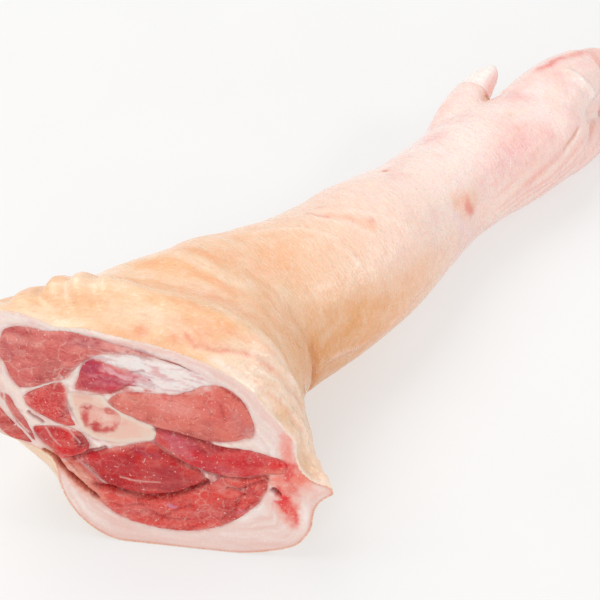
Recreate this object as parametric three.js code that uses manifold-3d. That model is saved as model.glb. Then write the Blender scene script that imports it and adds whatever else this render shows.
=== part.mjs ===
// A raw pork foreleg, cut through the upper arm and left whole down to the foot, lying on its side.
//
// Millimetres, +Z up. The leg lies along +X with the cut at the -X end and the toes at the +X end.
// "Near" is the front of the leg, towards -Y, and "far" is its back, towards +Y. The hide with the
// fat under it is one solid from the cut to the toes. The muscles, the arm bone and its marrow start
// at the cut and run into the leg, each in a pocket of its own.
import * as THREE from "three";
import Module from "manifold-3d";

const wasm = await Module();
wasm.setup();

// Fit and fineness
const GAP = 0.4; // between a muscle, bone or claw and what it lies in
const RING_POINTS = 48; // corners round the leg
const EDGE_STEP = 6.5; // length of a muscle's edge between two corners
const TOE_POINTS = 16; // corners round a toe
const LIMB_STEP = 0.5; // of the distance between two stations of a toe

// The saw cut: a flat face that leans back, with axes of its own. u runs near, v runs up.
const CUT_FOOT = [9.5, -10.2, 0]; // the point that u = v = 0 stands for
const CUT_HEADING = 38; // degrees from +X of the way into the leg
const CUT_LEAN = 10; // degrees that the face leans back
const CUT_MIDDLE = [-36, 58]; // u, v of the middle of the section
const CUT_REACH = { near: 83, far: 83, up: 65, down: 59 };

// The outer edge of the cut, from the lip on the near side, anticlockwise seen from the cut.
const CUT_EDGE = [
  [47, 42], [35, 49.5], [31, 57], [29.5, 67], [21.5, 77.5], [13.5, 90], [-3, 103], [-24, 111],
  [-45, 115], [-65, 118], [-78, 117.5], [-86, 121.5], [-100, 123.5], [-112, 117], [-119, 99],
  [-119, 76], [-112, 61], [-99, 54], [-88, 50], [-81, 43.5], [-77, 30], [-68, 13.5], [-57, 1.5],
  [-44, -1.2], [-25, -1.2], [-4, -0.6], [18, 2.5], [31, 7.5], [38, 18], [39.5, 28], [42, 35.5],
];

// Stations down the leg after the cut: the middle, the heading and lean of the section in degrees,
// its reach near, far, up and down, and its squareness.
const STATIONS = [
  { x: 12, y: 37, z: 57, heading: 36, lean: 8, near: 63, far: 84, up: 61, down: 59, square: 2.5 },
  { x: 34, y: 51, z: 53, heading: 28, lean: 5, near: 59, far: 66, up: 54, down: 54, square: 2.4 },
  { x: 60, y: 58, z: 49, heading: 16, lean: 2, near: 53, far: 52, up: 50, down: 50, square: 2.2 },
  { x: 84, y: 61, z: 46, heading: 7, lean: 0, near: 45, far: 45, up: 45, down: 47, square: 2.1 },
  { x: 102, y: 61, z: 45, heading: 2, lean: 0, near: 42, far: 41, up: 41, down: 46, square: 2.1 },
  { x: 135, y: 61, z: 43, heading: 0, lean: 0, near: 42, far: 38, up: 38, down: 44, square: 2.1 },
  { x: 175, y: 62, z: 40, heading: 3, lean: 0, near: 38, far: 37, up: 37, down: 40, square: 2.1 },
  { x: 212, y: 66, z: 35, heading: 5, lean: 0, near: 31, far: 33, up: 33, down: 34, square: 2.1 },
  { x: 242, y: 71, z: 33, heading: 5, lean: 0, near: 29, far: 31, up: 31, down: 32, square: 2.1 },
  { x: 272, y: 74, z: 33, heading: 2, lean: 0, near: 32, far: 30, up: 30, down: 32, square: 2.1 },
  { x: 304, y: 74, z: 32, heading: 0, lean: 0, near: 34, far: 26, up: 28, down: 31, square: 2.2 },
  { x: 332, y: 73, z: 31, heading: -2, lean: 0, near: 30, far: 26, up: 25, down: 29, square: 2.2 },
  { x: 350, y: 72, z: 30, heading: -3, lean: 0, near: 17, far: 17, up: 15, down: 18, square: 2.1 },
  { x: 361, y: 72, z: 30, heading: -3, lean: 0, near: 7, far: 7, up: 6, down: 7, square: 2 },
];
// What swells or sinks the section near the cut: an angle round it and a width in degrees, and the
// height at each of the first stations after the cut.
const SWELLINGS = {
  upperFarCorner: { angle: 120, width: 32, heights: [12, -1, 5, 5, 3] },
  lobeBehindLip: { angle: -22, width: 24, heights: [13, 8, 0] },
  lowerFarHollow: { angle: 216, width: 26, heights: [-15, -6] },
};

// The gathered skin behind the upper far edge of the cut
const FOLD_HEIGHT = 1.2;
const FOLD_LENGTH = 0.5; // stations from crest to crest
const FOLD_ANGLE = 122;
const FOLD_WIDTH = 26;
const FOLD_END = 1.6; // stations

// The crease inside the bent elbow
const CREASE_AT = 4.3; // stations
const CREASE_DEPTH = 5;
const CREASE_WIDTH = 0.16;
const CREASE_ANGLE = -20;
const CREASE_SPAN = 50;

// Where the rings of the hide are, in stations, and how many rings each stretch has
const RING_STRETCHES = [[0, 1.6, 11], [1.6, 3.8, 8], [3.8, 4.8, 6], [4.8, 14, 24]];

// Toes and dew claws: stations of x, y, z, half breadth and half height, and the claw's first x.
const TOES = {
  upper: {
    claw: 372,
    stations: [
      [318, 76, 41, 22, 18], [338, 77, 43, 22, 19], [356, 79, 43.5, 19.5, 17.5], [374, 80, 42, 16, 15],
      [390, 78, 39, 13, 13], [406, 76, 34, 11, 11], [420, 74, 28, 7.5, 8], [430, 73, 23, 3, 3.5],
    ],
  },
  lower: {
    claw: 364,
    stations: [
      [318, 68, 19, 22, 17], [338, 66, 18, 21, 17], [356, 65.5, 16.5, 18, 15], [370, 65, 15.5, 14.5, 13.5],
      [386, 64, 14, 12.5, 12], [400, 64, 12, 10.5, 10], [413, 64, 9.5, 7, 7.5], [421, 64, 7.5, 3, 3.5],
    ],
  },
};
const DEW_CLAWS = {
  upper: {
    claw: 306,
    stations: [
      [256, 87, 43, 11, 11], [270, 93, 45, 12, 12], [285, 99, 46, 11.5, 11.5], [300, 104, 47, 11, 11],
      [314, 109, 48, 10, 9.5], [326, 112, 48.5, 7, 6.5], [333, 115, 49, 3, 2.5],
    ],
  },
  lower: {
    claw: 304,
    stations: [
      [258, 86, 21, 11, 11], [272, 93, 19, 13, 13], [286, 99, 18, 12.5, 12.5], [300, 104, 17, 11, 11],
      [312, 108, 16.5, 8.5, 8], [322, 111, 16, 5.5, 5], [329, 112, 16, 2.5, 2],
    ],
  },
};
const CLAW_SHARE = 0.94; // breadth of a claw against the toe it grows from

// The muscles that show at the cut. The first corner list runs anticlockwise seen from the cut, the
// anchor is the point that a muscle narrows towards, and depth is how far it runs into the leg.
const MUSCLES = {
  muscle_top_back: {
    anchor: [-72, 109.5], depth: 88, colour: 0xb3525a,
    edge: [
      [-21, 103.4], [-34, 107.6], [-50, 111.6], [-64, 114], [-78, 113.6], [-92, 114.6], [-100.5, 105],
      [-99.5, 92], [-93.5, 84.5], [-84, 86.8], [-75, 91.5], [-66, 100.6], [-57, 105.6], [-40, 107],
    ],
  },
  muscle_back: {
    anchor: [-80, 75], depth: 78, colour: 0xad4a50,
    edge: [[-71.5, 66], [-74, 76], [-74.2, 85.5], [-78, 86.6], [-88, 81.8], [-92, 78], [-90, 73], [-81, 67.5]],
  },
  muscle_back_strip: {
    anchor: [-97, 68], depth: 60, colour: 0xc0686a,
    edge: [[-90.5, 57], [-93.5, 66], [-97.5, 73], [-101, 78.6], [-103.4, 78], [-101, 71.5], [-96.5, 63]],
  },
  muscle_back_low: {
    anchor: [-101, 62], depth: 60, colour: 0xb4565a,
    edge: [[-92, 54.2], [-96.5, 60], [-102, 66.6], [-106, 71.5], [-110, 75], [-111, 66], [-104, 58], [-99, 55.3]],
  },
  muscle_under_bone: {
    anchor: [-76, 56], depth: 70, colour: 0xa23038,
    edge: [[-66.5, 51], [-66, 56], [-69, 60.5], [-75, 62.8], [-83, 62], [-87.5, 60], [-85.5, 55.5], [-80, 51], [-73, 48.5]],
  },
  muscle_over_bone: {
    anchor: [-54, 92], depth: 70, colour: 0x9a4a60,
    edge: [[-34, 91.2], [-42, 95.6], [-50, 98], [-57.5, 101.2], [-63, 97.6], [-67.4, 90.5], [-67, 86.4], [-57, 85], [-50.5, 87], [-45, 90.2]],
  },
  muscle_front: {
    anchor: [-16, 78], depth: 92, colour: 0xb24f58,
    edge: [
      [9.6, 73], [6.5, 83], [0, 90.6], [-6, 93], [-13, 91.8], [-21, 86.6], [-30, 84.4], [-42, 84.4],
      [-51, 82], [-52.5, 79.5], [-42, 73.6], [-31, 69.6], [-14, 65], [-3, 64.8], [6, 68.2],
    ],
  },
  muscle_front_band: {
    anchor: [-5, 53], depth: 80, colour: 0xa83a46,
    edge: [
      [24.6, 51.6], [24, 54.6], [15, 58], [5, 59.6], [-6, 59], [-15, 61.4], [-31.5, 65.2], [-32.6, 61.6],
      [-20.5, 51.4], [-12.5, 47.4], [-5, 46.2], [6, 46.8], [16, 49],
    ],
  },
  muscle_core: {
    anchor: [-38, 43], depth: 76, colour: 0x9a2c34,
    edge: [
      [-12.2, 41], [-15.5, 45], [-23, 48], [-30.5, 54.2], [-36, 58], [-47, 55], [-57, 51.6], [-63.6, 47.8],
      [-61.6, 42], [-56.5, 36.6], [-50, 32.5], [-34, 31], [-26, 32.8], [-17.5, 37],
    ],
  },
  muscle_under: {
    anchor: [-30, 17.5], depth: 90, colour: 0xb0424a,
    edge: [
      [15, 43.4], [6, 40], [-3, 34.6], [-15, 32.2], [-26, 28.6], [-36, 26], [-49, 26.8], [-58.6, 30.4],
      [-65, 36.8], [-71.5, 43.2], [-72.6, 41.4], [-64, 28], [-56, 19.6], [-45, 14], [-34, 12], [-23, 11.6],
      [-11, 14], [0, 19], [8, 26], [14, 34.4],
    ],
  },
};

// The arm bone and the marrow in it
const BONE = {
  depth: 96,
  anchor: [-55, 71],
  edge: [
    [-34.6, 63.6], [-35, 67], [-43, 70.6], [-51, 74.4], [-55.5, 78], [-58, 82], [-64, 82.4], [-70.6, 81.8],
    [-71.2, 75], [-68.8, 68.8], [-66, 63], [-61.5, 60.4], [-55, 59.4], [-47, 59.6], [-40, 61],
  ],
};
const MARROW = {
  depth: 58,
  anchor: [-59, 70],
  edge: [[-50.8, 69], [-53.5, 74.2], [-59, 75.4], [-64, 77.4], [-66.6, 75], [-66.4, 69.6], [-63.5, 65], [-57.5, 63], [-52.6, 64.8]],
};
const CAP_RISE = 1.6; // swell of a muscle out of the cut
const POCKET_MOUTH = 10;
const POCKET_GAIN = 2; // how a pocket's gap is widened at its end, where the section is narrower
const FAT_GAIN = 0.13; // how much the fat over the muscles thickens, as a share of the section
const FAT_GAIN_DEPTH = 32;
// How a muscle narrows: the share of its rise or its depth, and its size there
const CAP = [[-0.7, 0.86]];
const TAPER = [[0, 1], [0.22, 0.99], [0.46, 0.91], [0.7, 0.7], [0.9, 0.38], [1, 0.14]];

// The slit between the skirt of fat and the meat, low on the far side: u, v and half width
const SLIT = [[-57, 13, 0.8], [-64, 21, 1.8], [-71, 32, 2.3], [-78, 42, 2.3], [-86, 47.5, 1.2]];
const SLIT_DEPTH = 3;

const rad = THREE.MathUtils.degToRad;

// The axes of a section: side runs near, up runs up the section, and inward runs into the leg.
function sectionAxes(heading, lean) {
  const level = new THREE.Vector3(Math.cos(rad(heading)), Math.sin(rad(heading)), 0);
  const side = new THREE.Vector3(level.y, -level.x, 0);
  const up = new THREE.Vector3(0, 0, Math.cos(rad(lean))).addScaledVector(level, Math.sin(rad(lean)));
  return { side, up, inward: up.clone().cross(side) };
}

const cutAxes = sectionAxes(CUT_HEADING, CUT_LEAN);

// A point of the cut's plane, or at a depth behind it.
function cutPoint(u, v, depth = 0) {
  return new THREE.Vector3(...CUT_FOOT)
    .addScaledVector(cutAxes.side, u)
    .addScaledVector(cutAxes.up, v)
    .addScaledVector(cutAxes.inward, depth);
}

// A smooth closed line through the corners, as evenly spaced points.
function smoothLoop(corners, count) {
  const points = corners.map(([u, v]) => new THREE.Vector3(u, v, 0));
  const line = new THREE.CatmullRomCurve3(points, true, "centripetal");
  return line.getSpacedPoints(count).slice(0, count).map((p) => [p.x, p.y]);
}

// The distance from the middle of a closed outline to its edge, at an angle.
function reachAt(outline, angle) {
  const [dx, dy] = [Math.cos(angle), Math.sin(angle)];
  let reach = 0;
  outline.forEach(([ax, ay], i) => {
    const [bx, by] = outline[(i + 1) % outline.length];
    const cross = dx * (by - ay) - dy * (bx - ax);
    if (Math.abs(cross) < 1e-9) return;
    const along = (ax * (by - ay) - ay * (bx - ax)) / cross;
    const share = (ax * dy - ay * dx) / cross;
    if (share > -1e-6 && share < 1 + 1e-6) reach = Math.max(reach, along);
  });
  return reach;
}

// A superellipse with a reach of its own in each of the four directions.
function superellipse(angle, near, far, up, down, square) {
  const [c, s] = [Math.cos(angle), Math.sin(angle)];
  const across = Math.abs(c) / (c > 0 ? near : far);
  const tall = Math.abs(s) / (s > 0 ? up : down);
  return (across ** square + tall ** square) ** (-1 / square);
}

function turnBetween(angle, degrees) {
  const turn = angle - rad(degrees);
  return Math.atan2(Math.sin(turn), Math.cos(turn)) / rad(1);
}

function bell(distance, width) {
  return Math.exp(-((distance / width) ** 2));
}

const cutOutline = smoothLoop(CUT_EDGE, 240).map(([u, v]) => [u - CUT_MIDDLE[0], v - CUT_MIDDLE[1]]);
const cutMiddle = cutPoint(...CUT_MIDDLE);
const KEYS = [
  {
    x: cutMiddle.x, y: cutMiddle.y, z: cutMiddle.z, heading: CUT_HEADING, lean: CUT_LEAN, ...CUT_REACH,
    reach: (angle) => reachAt(cutOutline, angle),
  },
  ...STATIONS.map((s, i) => ({
    ...s,
    reach: (angle) => superellipse(angle, s.near, s.far, s.up, s.down, s.square)
      + Object.values(SWELLINGS).reduce((sum, { angle: middle, width, heights }) => (
        sum + (heights[i] ?? 0) * bell(turnBetween(angle, middle), width)
      ), 0),
  })),
];

// A smooth value between values that are one station apart.
function between(values, t) {
  const i = Math.min(Math.floor(t), values.length - 2);
  const f = t - i;
  const [b, c] = [values[i], values[i + 1]];
  const a = i > 0 ? values[i - 1] : 2 * b - c;
  const d = i + 2 < values.length ? values[i + 2] : 2 * c - b;
  const [m0, m1] = [(c - a) / 2, (d - b) / 2];
  const [f2, f3] = [f * f, f * f * f];
  return (2 * f3 - 3 * f2 + 1) * b + (f3 - 2 * f2 + f) * m0 + (3 * f2 - 2 * f3) * c + (f3 - f2) * m1;
}

// The folds and the crease of the skin: what they add to the reach of the hide.
function skinRelief(t, angle) {
  const fade = Math.sin(Math.PI * Math.min(t / FOLD_END, 1));
  const wave = Math.cos((2 * Math.PI * t) / FOLD_LENGTH + turnBetween(angle, FOLD_ANGLE) / 16);
  const folds = FOLD_HEIGHT * wave * fade * bell(turnBetween(angle, FOLD_ANGLE), FOLD_WIDTH);
  const bend = turnBetween(angle, CREASE_ANGLE);
  const crease = CREASE_DEPTH * bell(t - CREASE_AT + 0.006 * Math.max(bend, 0), CREASE_WIDTH);
  return folds - crease * bell(bend, CREASE_SPAN);
}

// A point of the hide: t counts stations from the cut, and the angle is round the section.
function hidePoint(t, angle) {
  const at = (name) => between(KEYS.map((key) => key[name]), t);
  const axes = sectionAxes(at("heading"), at("lean"));
  const reach = between(KEYS.map((key) => key.reach(angle)), t) + skinRelief(t, angle);
  const point = new THREE.Vector3(at("x"), at("y"), at("z"))
    .addScaledVector(axes.side, Math.cos(angle) * reach)
    .addScaledVector(axes.up, Math.sin(angle) * reach);
  point.z = Math.max(point.z, 0);
  return point;
}

// The station that a depth below the middle of the cut is at.
const middles = Array.from({ length: 101 }, (_, i) => (
  new THREE.Vector3(...["x", "y", "z"].map((name) => between(KEYS.map((key) => key[name]), i * 0.06)))
));
const depths = middles.map(() => 0);
for (let i = 1; i < middles.length; i++) depths[i] = depths[i - 1] + middles[i].distanceTo(middles[i - 1]);
function stationAt(depth) {
  const i = Math.max(depths.findIndex((d) => d > depth), 1);
  return 0.06 * (i - 1 + (depth - depths[i - 1]) / (depths[i] - depths[i - 1]));
}

// Carries a point of the cut down the leg, as the section turns and narrows.
function carried([u, v], depth) {
  if (depth <= 0) return cutPoint(u, v, depth);
  const t = stationAt(depth);
  const at = (name) => between(KEYS.map((key) => key[name]), t);
  const cover = 1 - FAT_GAIN * Math.min(depth / FAT_GAIN_DEPTH, 1);
  const across = (u - CUT_MIDDLE[0]) / (CUT_REACH.near + CUT_REACH.far);
  const tall = (v - CUT_MIDDLE[1] - (CUT_REACH.up - CUT_REACH.down) / 2) / (CUT_REACH.up + CUT_REACH.down);
  const axes = sectionAxes(at("heading"), at("lean"));
  return new THREE.Vector3(at("x"), at("y"), at("z"))
    .addScaledVector(axes.side, across * (at("near") + at("far")) * cover + (at("near") - at("far")) / 2)
    .addScaledVector(axes.up, tall * (at("up") + at("down")) * cover + (at("up") - at("down")) / 2);
}

// Moves every edge of an outline outwards by a distance, with its corners mitred.
function widened(outline, distance) {
  const square = ([au, av], [bu, bv]) => new THREE.Vector2(bv - av, au - bu).normalize();
  return outline.map((corner, i) => {
    const before = square(outline[(i + outline.length - 1) % outline.length], corner);
    const after = square(corner, outline[(i + 1) % outline.length]);
    const out = before.clone().add(after).normalize();
    const reach = distance / Math.max(out.dot(after), 0.5);
    return [corner[0] + out.x * reach, corner[1] + out.y * reach];
  });
}

function solidFromMesh(positions, index) {
  const mesh = new wasm.Mesh({
    numProp: 3, vertProperties: new Float32Array(positions), triVerts: new Uint32Array(index),
  });
  mesh.merge();
  return new wasm.Manifold(mesh);
}

// A solid from rings of equal length that follow each other inwards, closed on a point at each end.
function solidFromRings(rings, firstMiddle = meanOf(rings[0]), lastMiddle = meanOf(rings.at(-1))) {
  const count = rings[0].length;
  const positions = [...rings.flat(), firstMiddle, lastMiddle].flatMap((p) => [p.x, p.y, p.z]);
  const [first, last] = [rings.length * count, rings.length * count + 1];
  const index = [];
  for (let i = 0; i < count; i++) {
    const next = (i + 1) % count;
    index.push(first, i, next);
    for (let r = 0; r + 1 < rings.length; r++) {
      const [a, b] = [r * count + i, r * count + next];
      index.push(a, a + count, b, b, a + count, b + count);
    }
    index.push(last, (rings.length - 1) * count + next, (rings.length - 1) * count + i);
  }
  return solidFromMesh(positions, index);
}

function meanOf(points) {
  return points.reduce((sum, p) => sum.add(p), new THREE.Vector3()).divideScalar(points.length);
}

// A muscle, bone or marrow, or the pocket that it lies in, which is wider and open to the front.
function innards({ edge, anchor, depth }, { pocket = false, rise = CAP_RISE } = {}) {
  const length = edge.reduce((sum, [u, v], i) => {
    const next = edge[(i + 1) % edge.length];
    return sum + Math.hypot(next[0] - u, next[1] - v);
  }, 0);
  const outline = smoothLoop(edge, Math.max(12, Math.round(length / EDGE_STEP)));
  const shrunk = (share) => outline.map(([u, v]) => [
    anchor[0] + (u - anchor[0]) * share, anchor[1] + (v - anchor[1]) * share,
  ]);
  if (pocket) {
    const rings = TAPER.map(([share, size]) => (
      widened(shrunk(size), GAP * (1 + POCKET_GAIN * share))
        .map((p) => carried(p, depth * share + (share < 1 ? 0 : 3 * GAP)))
    ));
    rings.unshift(widened(outline, GAP).map((p) => carried(p, -POCKET_MOUTH)));
    return solidFromRings(rings, carried(anchor, -POCKET_MOUTH), carried(anchor, depth + 3 * GAP));
  }
  const rings = [...CAP, ...TAPER].map(([share, size]) => (
    shrunk(size).map((p) => carried(p, share < 0 ? rise * share : depth * share))
  ));
  return solidFromRings(rings, carried(anchor, -rise), carried(anchor, depth));
}

// A round limb along a line of stations of x, y, z, half breadth and half height.
function limb(stations, share = 1) {
  const at = (column, t) => between(stations.map((s) => s[column]), t);
  const middle = (t) => new THREE.Vector3(at(0, t), at(1, t), at(2, t));
  const last = stations.length - 1;
  const rings = [];
  for (let t = 0; t <= last; t += LIMB_STEP) {
    const ahead = middle(Math.min(t + 0.1, last)).sub(middle(Math.max(t - 0.1, 0))).normalize();
    const side = new THREE.Vector3(ahead.y, -ahead.x, 0).normalize();
    const up = side.clone().cross(ahead);
    rings.push(Array.from({ length: TOE_POINTS }, (_, i) => {
      const angle = (2 * Math.PI * i) / TOE_POINTS;
      return middle(t)
        .addScaledVector(side, Math.cos(angle) * at(3, t) * share)
        .addScaledVector(up, Math.sin(angle) * at(4, t) * share);
    }));
  }
  return solidFromRings(rings);
}

function solidFromGeometry(geometry) {
  return solidFromMesh([...geometry.attributes.position.array], [...geometry.index.array]);
}

// All that lies past a point of a limb's middle line, at an x.
function beyond(stations, x, offset) {
  const i = stations.findIndex((s) => s[0] > x);
  const [a, b] = [new THREE.Vector3(...stations[i - 1]), new THREE.Vector3(...stations[i])];
  const ahead = b.clone().sub(a).normalize();
  const at = a.lerp(b, (x - a.x) / (b.x - a.x)).addScaledVector(ahead, offset);
  const size = 160;
  const box = new THREE.BoxGeometry(size, size, size).translate(0, 0, size / 2);
  const turn = new THREE.Quaternion().setFromUnitVectors(new THREE.Vector3(0, 0, 1), ahead);
  box.applyQuaternion(turn).translate(at.x, at.y, at.z);
  return solidFromGeometry(box);
}

// The hide: rings from the cut to the root of the toes, with a corner on the lip
const LIP_ANGLE = Math.atan2(CUT_EDGE[0][1] - CUT_MIDDLE[1], CUT_EDGE[0][0] - CUT_MIDDLE[0]);
const hideRings = RING_STRETCHES.flatMap(([from, to, count], stretch) => {
  const rings = [];
  for (let i = stretch === 0 ? 0 : 1; i <= count; i++) {
    const t = from + ((to - from) * i) / count;
    rings.push(Array.from({ length: RING_POINTS }, (_, k) => {
      const angle = LIP_ANGLE + (2 * Math.PI * k) / RING_POINTS;
      return hidePoint(t, angle);
    }));
  }
  return rings;
});
let hide = solidFromRings(hideRings);

const claws = {};
for (const [kind, set] of [["claw", TOES], ["dew_claw", DEW_CLAWS]]) {
  for (const [place, { claw, stations }] of Object.entries(set)) {
    hide = hide.add(limb(stations).subtract(beyond(stations, claw, 0)));
    claws[`${kind}_${place}`] = { stations, claw };
  }
}

const slit = SLIT.map(([u, v, width]) => [...cutPoint(u, v, SLIT_DEPTH - width), width, width]);
hide = hide.subtract(limb(slit));

const solids = {};
for (const [name, muscle] of Object.entries(MUSCLES)) {
  hide = hide.subtract(innards(muscle, { pocket: true }));
  solids[name] = { solid: innards(muscle), colour: muscle.colour, roughness: 0.45 };
}
hide = hide.subtract(innards(BONE, { pocket: true }));
solids.bone = {
  solid: innards(BONE, { rise: 0.6 }).subtract(innards(MARROW, { pocket: true })),
  colour: 0xe9dcc4, roughness: 0.5,
};
solids.marrow = { solid: innards(MARROW, { rise: 0.4 }), colour: 0xd99a90, roughness: 0.55 };

for (const [name, { stations, claw }] of Object.entries(claws)) {
  hide = hide.subtract(limb(stations).intersect(beyond(stations, claw, 0)));
  const horn = limb(stations, CLAW_SHARE).intersect(beyond(stations, claw, GAP));
  solids[name] = { solid: horn, colour: 0xe8c0b4, roughness: 0.4 };
}
const root = { rind_fat: { solid: hide, colour: 0xedc09c, roughness: 0.5 }, ...solids };

// The origin is under the middle of the whole.
const group = new THREE.Group();
const bounds = new THREE.Box3();
const meshes = Object.entries(root).map(([name, { solid, colour, roughness }]) => {
  const { vertProperties, triVerts } = solid.getMesh();
  const geometry = new THREE.BufferGeometry();
  geometry.setAttribute("position", new THREE.Float32BufferAttribute(vertProperties, 3));
  geometry.setIndex([...triVerts]);
  geometry.computeBoundingBox();
  bounds.union(geometry.boundingBox);
  const mesh = new THREE.Mesh(geometry, new THREE.MeshStandardMaterial({ color: colour, roughness, metalness: 0 }));
  mesh.name = name;
  return mesh;
});
const centre = bounds.getCenter(new THREE.Vector3());
for (const mesh of meshes) {
  mesh.geometry.translate(-centre.x, -centre.y, -bounds.min.z);
  mesh.geometry.computeVertexNormals();
  group.add(mesh);
}
group.userData.shift = [centre.x, centre.y, bounds.min.z];

export default group;
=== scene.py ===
import math

import bmesh
import bpy
import numpy as np
from mathutils import Matrix, Vector
from mathutils.geometry import delaunay_2d_cdt
from mathutils.kdtree import KDTree


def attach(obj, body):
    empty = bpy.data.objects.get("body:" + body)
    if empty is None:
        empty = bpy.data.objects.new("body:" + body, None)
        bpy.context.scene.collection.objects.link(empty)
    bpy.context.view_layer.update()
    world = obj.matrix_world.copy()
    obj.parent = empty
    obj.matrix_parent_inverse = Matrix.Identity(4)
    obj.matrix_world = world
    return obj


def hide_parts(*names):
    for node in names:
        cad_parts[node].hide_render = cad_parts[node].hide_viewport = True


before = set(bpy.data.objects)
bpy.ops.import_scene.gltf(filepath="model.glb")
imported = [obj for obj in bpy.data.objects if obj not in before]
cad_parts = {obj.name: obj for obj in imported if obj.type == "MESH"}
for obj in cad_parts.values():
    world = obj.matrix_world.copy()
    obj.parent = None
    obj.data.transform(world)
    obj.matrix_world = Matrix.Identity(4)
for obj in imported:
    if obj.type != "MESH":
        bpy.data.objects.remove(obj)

# The looks of a raw pork foreleg, cut through the upper arm. Lengths are in millimetres until a mesh
# is made, with the axes of the solids: the leg lies along +X, near is -Y and far is +Y.
MM = 0.001
SHIFT = np.array([189.0686, 37.9243, 0.0])
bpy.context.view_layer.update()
random = np.random.default_rng(7)

# The saw cut
CUT_FOOT = np.array([9.5, -10.2, 0.0])
CUT_HEADING = 38
CUT_LEAN = 10
CUT_MIDDLE = np.array([-36.0, 58.0])
CUT_REACH = {"near": 83, "far": 83, "up": 65, "down": 59}
CUT_EDGE = [
    (49, 42), (35.5, 49.5), (31, 57), (29.5, 67), (21.5, 77.5), (13.5, 90), (-3, 103), (-24, 111),
    (-45, 115), (-65, 118), (-78, 117.5), (-86, 121.5), (-100, 123.5), (-112, 117), (-119, 99),
    (-119, 76), (-112, 61), (-99, 54), (-88, 50), (-81, 43.5), (-79, 30), (-74, 17.5), (-67, 8.5),
    (-58, 2.4), (-45, -1.2), (-25, -1.6), (-4, -0.8), (18, 2.5), (31, 7.5), (38, 18), (39.5, 28), (42, 35.5),
]

# Stations down the leg after the cut: middle, heading, lean, reach near, far, up and down, squareness
STATIONS = [
    (12, 37, 57, 36, 8, 63, 84, 61, 59, 2.5), (34, 51, 53, 28, 5, 59, 66, 54, 54, 2.4),
    (60, 58, 49, 16, 2, 53, 52, 50, 50, 2.2), (84, 61, 46, 7, 0, 45, 45, 45, 47, 2.1),
    (102, 61, 45, 2, 0, 42, 41, 41, 46, 2.1), (135, 61, 43, 0, 0, 42, 38, 38, 44, 2.1),
    (175, 62, 40, 3, 0, 38, 37, 37, 40, 2.1), (212, 66, 35, 5, 0, 31, 33, 33, 34, 2.1),
    (242, 71, 33, 5, 0, 29, 31, 31, 32, 2.1), (272, 74, 33, 2, 0, 32, 30, 30, 32, 2.1),
    (304, 74, 32, 0, 0, 34, 26, 28, 31, 2.2), (332, 73, 31, -2, 0, 30, 26, 25, 29, 2.2),
    (350, 72, 30, -3, 0, 17, 17, 15, 18, 2.1), (361, 72, 30, -3, 0, 7, 7, 6, 7, 2),
]
SWELLINGS = [(120, 32, (12, -1, 5, 5, 3)), (-22, 24, (13, 8, 0)), (216, 26, (-15, -6))]
# Gathered folds over the far top corner: first crest's angle, spacing in degrees, skew and height
FOLD_FIRST = 134
FOLD_SPACING = 8.6
FOLD_SKEW = 6
FOLD_HEIGHT = 5.4
# Lumps and hollows among the folds: height, station and length along it, angle and width
FOLD_LUMPS = [
    (3.0, 2.3, 0.5, 133, 15), (-2.4, 3.2, 0.5, 129, 15), (-2.4, 0.9, 0.4, 130.5, 4.5),
    (1.0, 0.6, 0.35, 141, 5), (2.0, 1.9, 0.5, 124, 7),
]
# The crease in front of the elbow: its station, depth, width, angle and span
CREASE_AT = 4.3
CREASE_DEPTH = 5
CREASE_WIDTH = 0.16
CREASE_ANGLE = -20
CREASE_SPAN = 50

# Toes and dew claws: stations of x, y, z, half breadth and half height, and the claw's first x
TOES = {
    "claw_upper": (372, [
        (318, 76, 41, 22, 18), (338, 77, 43, 22, 19), (356, 79, 43.5, 19.5, 17.5), (374, 80, 42, 16, 15),
        (390, 78, 39, 13, 13), (406, 76, 34, 11, 11), (420, 74, 28, 7.5, 8), (430, 73, 23, 3, 3.5),
    ]),
    "claw_lower": (364, [
        (318, 68, 19, 22, 17), (338, 66, 18, 21, 17), (356, 65.5, 16.5, 18, 15), (370, 65, 15.5, 14.5, 13.5),
        (386, 64, 14, 12.5, 12), (400, 64, 12, 10.5, 10), (413, 64, 9.5, 7, 7.5), (421, 64, 7.5, 3, 3.5),
    ]),
    "dew_claw_upper": (306, [
        (256, 87, 43, 11, 11), (270, 93, 45, 12, 12), (285, 99, 46, 11.5, 11.5), (300, 104, 47, 11, 11),
        (314, 109, 48, 9.4, 9.2), (326, 112, 48.5, 6.2, 6), (333, 115, 49, 2.4, 2.2),
    ]),
    "dew_claw_lower": (304, [
        (258, 86, 21, 11, 11), (272, 93, 19, 13, 13), (286, 99, 18, 12.5, 12.5), (300, 104, 17, 11, 11),
        (312, 108, 16.5, 8.5, 8), (322, 111, 16, 5.5, 5), (329, 112, 16, 2.5, 2),
    ]),
}
CLAW_SHARE = 0.94
VOXEL = 1.4
FACE_STEP = 0.75


def section_axes(heading, lean):
    heading, lean = np.radians(heading), np.radians(lean)
    flat = np.zeros_like(heading)
    level = np.stack([np.cos(heading), np.sin(heading), flat], -1)
    side = np.stack([np.sin(heading), -np.cos(heading), flat], -1)
    up = level * np.sin(lean)[..., None] + np.stack([flat, flat, np.cos(lean)], -1)
    return side, up, np.cross(up, side)


SIDE, UP, INWARD = (axis[0] for axis in section_axes(np.array([CUT_HEADING]), np.array([CUT_LEAN])))


def cut_point(uv, depth=0.0):
    uv = np.asarray(uv, float)
    depth = np.broadcast_to(depth, uv.shape[:-1])
    return CUT_FOOT + uv[..., :1] * SIDE + uv[..., 1:2] * UP + depth[..., None] * INWARD


def on_cut(points):
    local = np.asarray(points) - CUT_FOOT
    return np.stack([local @ SIDE, local @ UP], -1)


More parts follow.
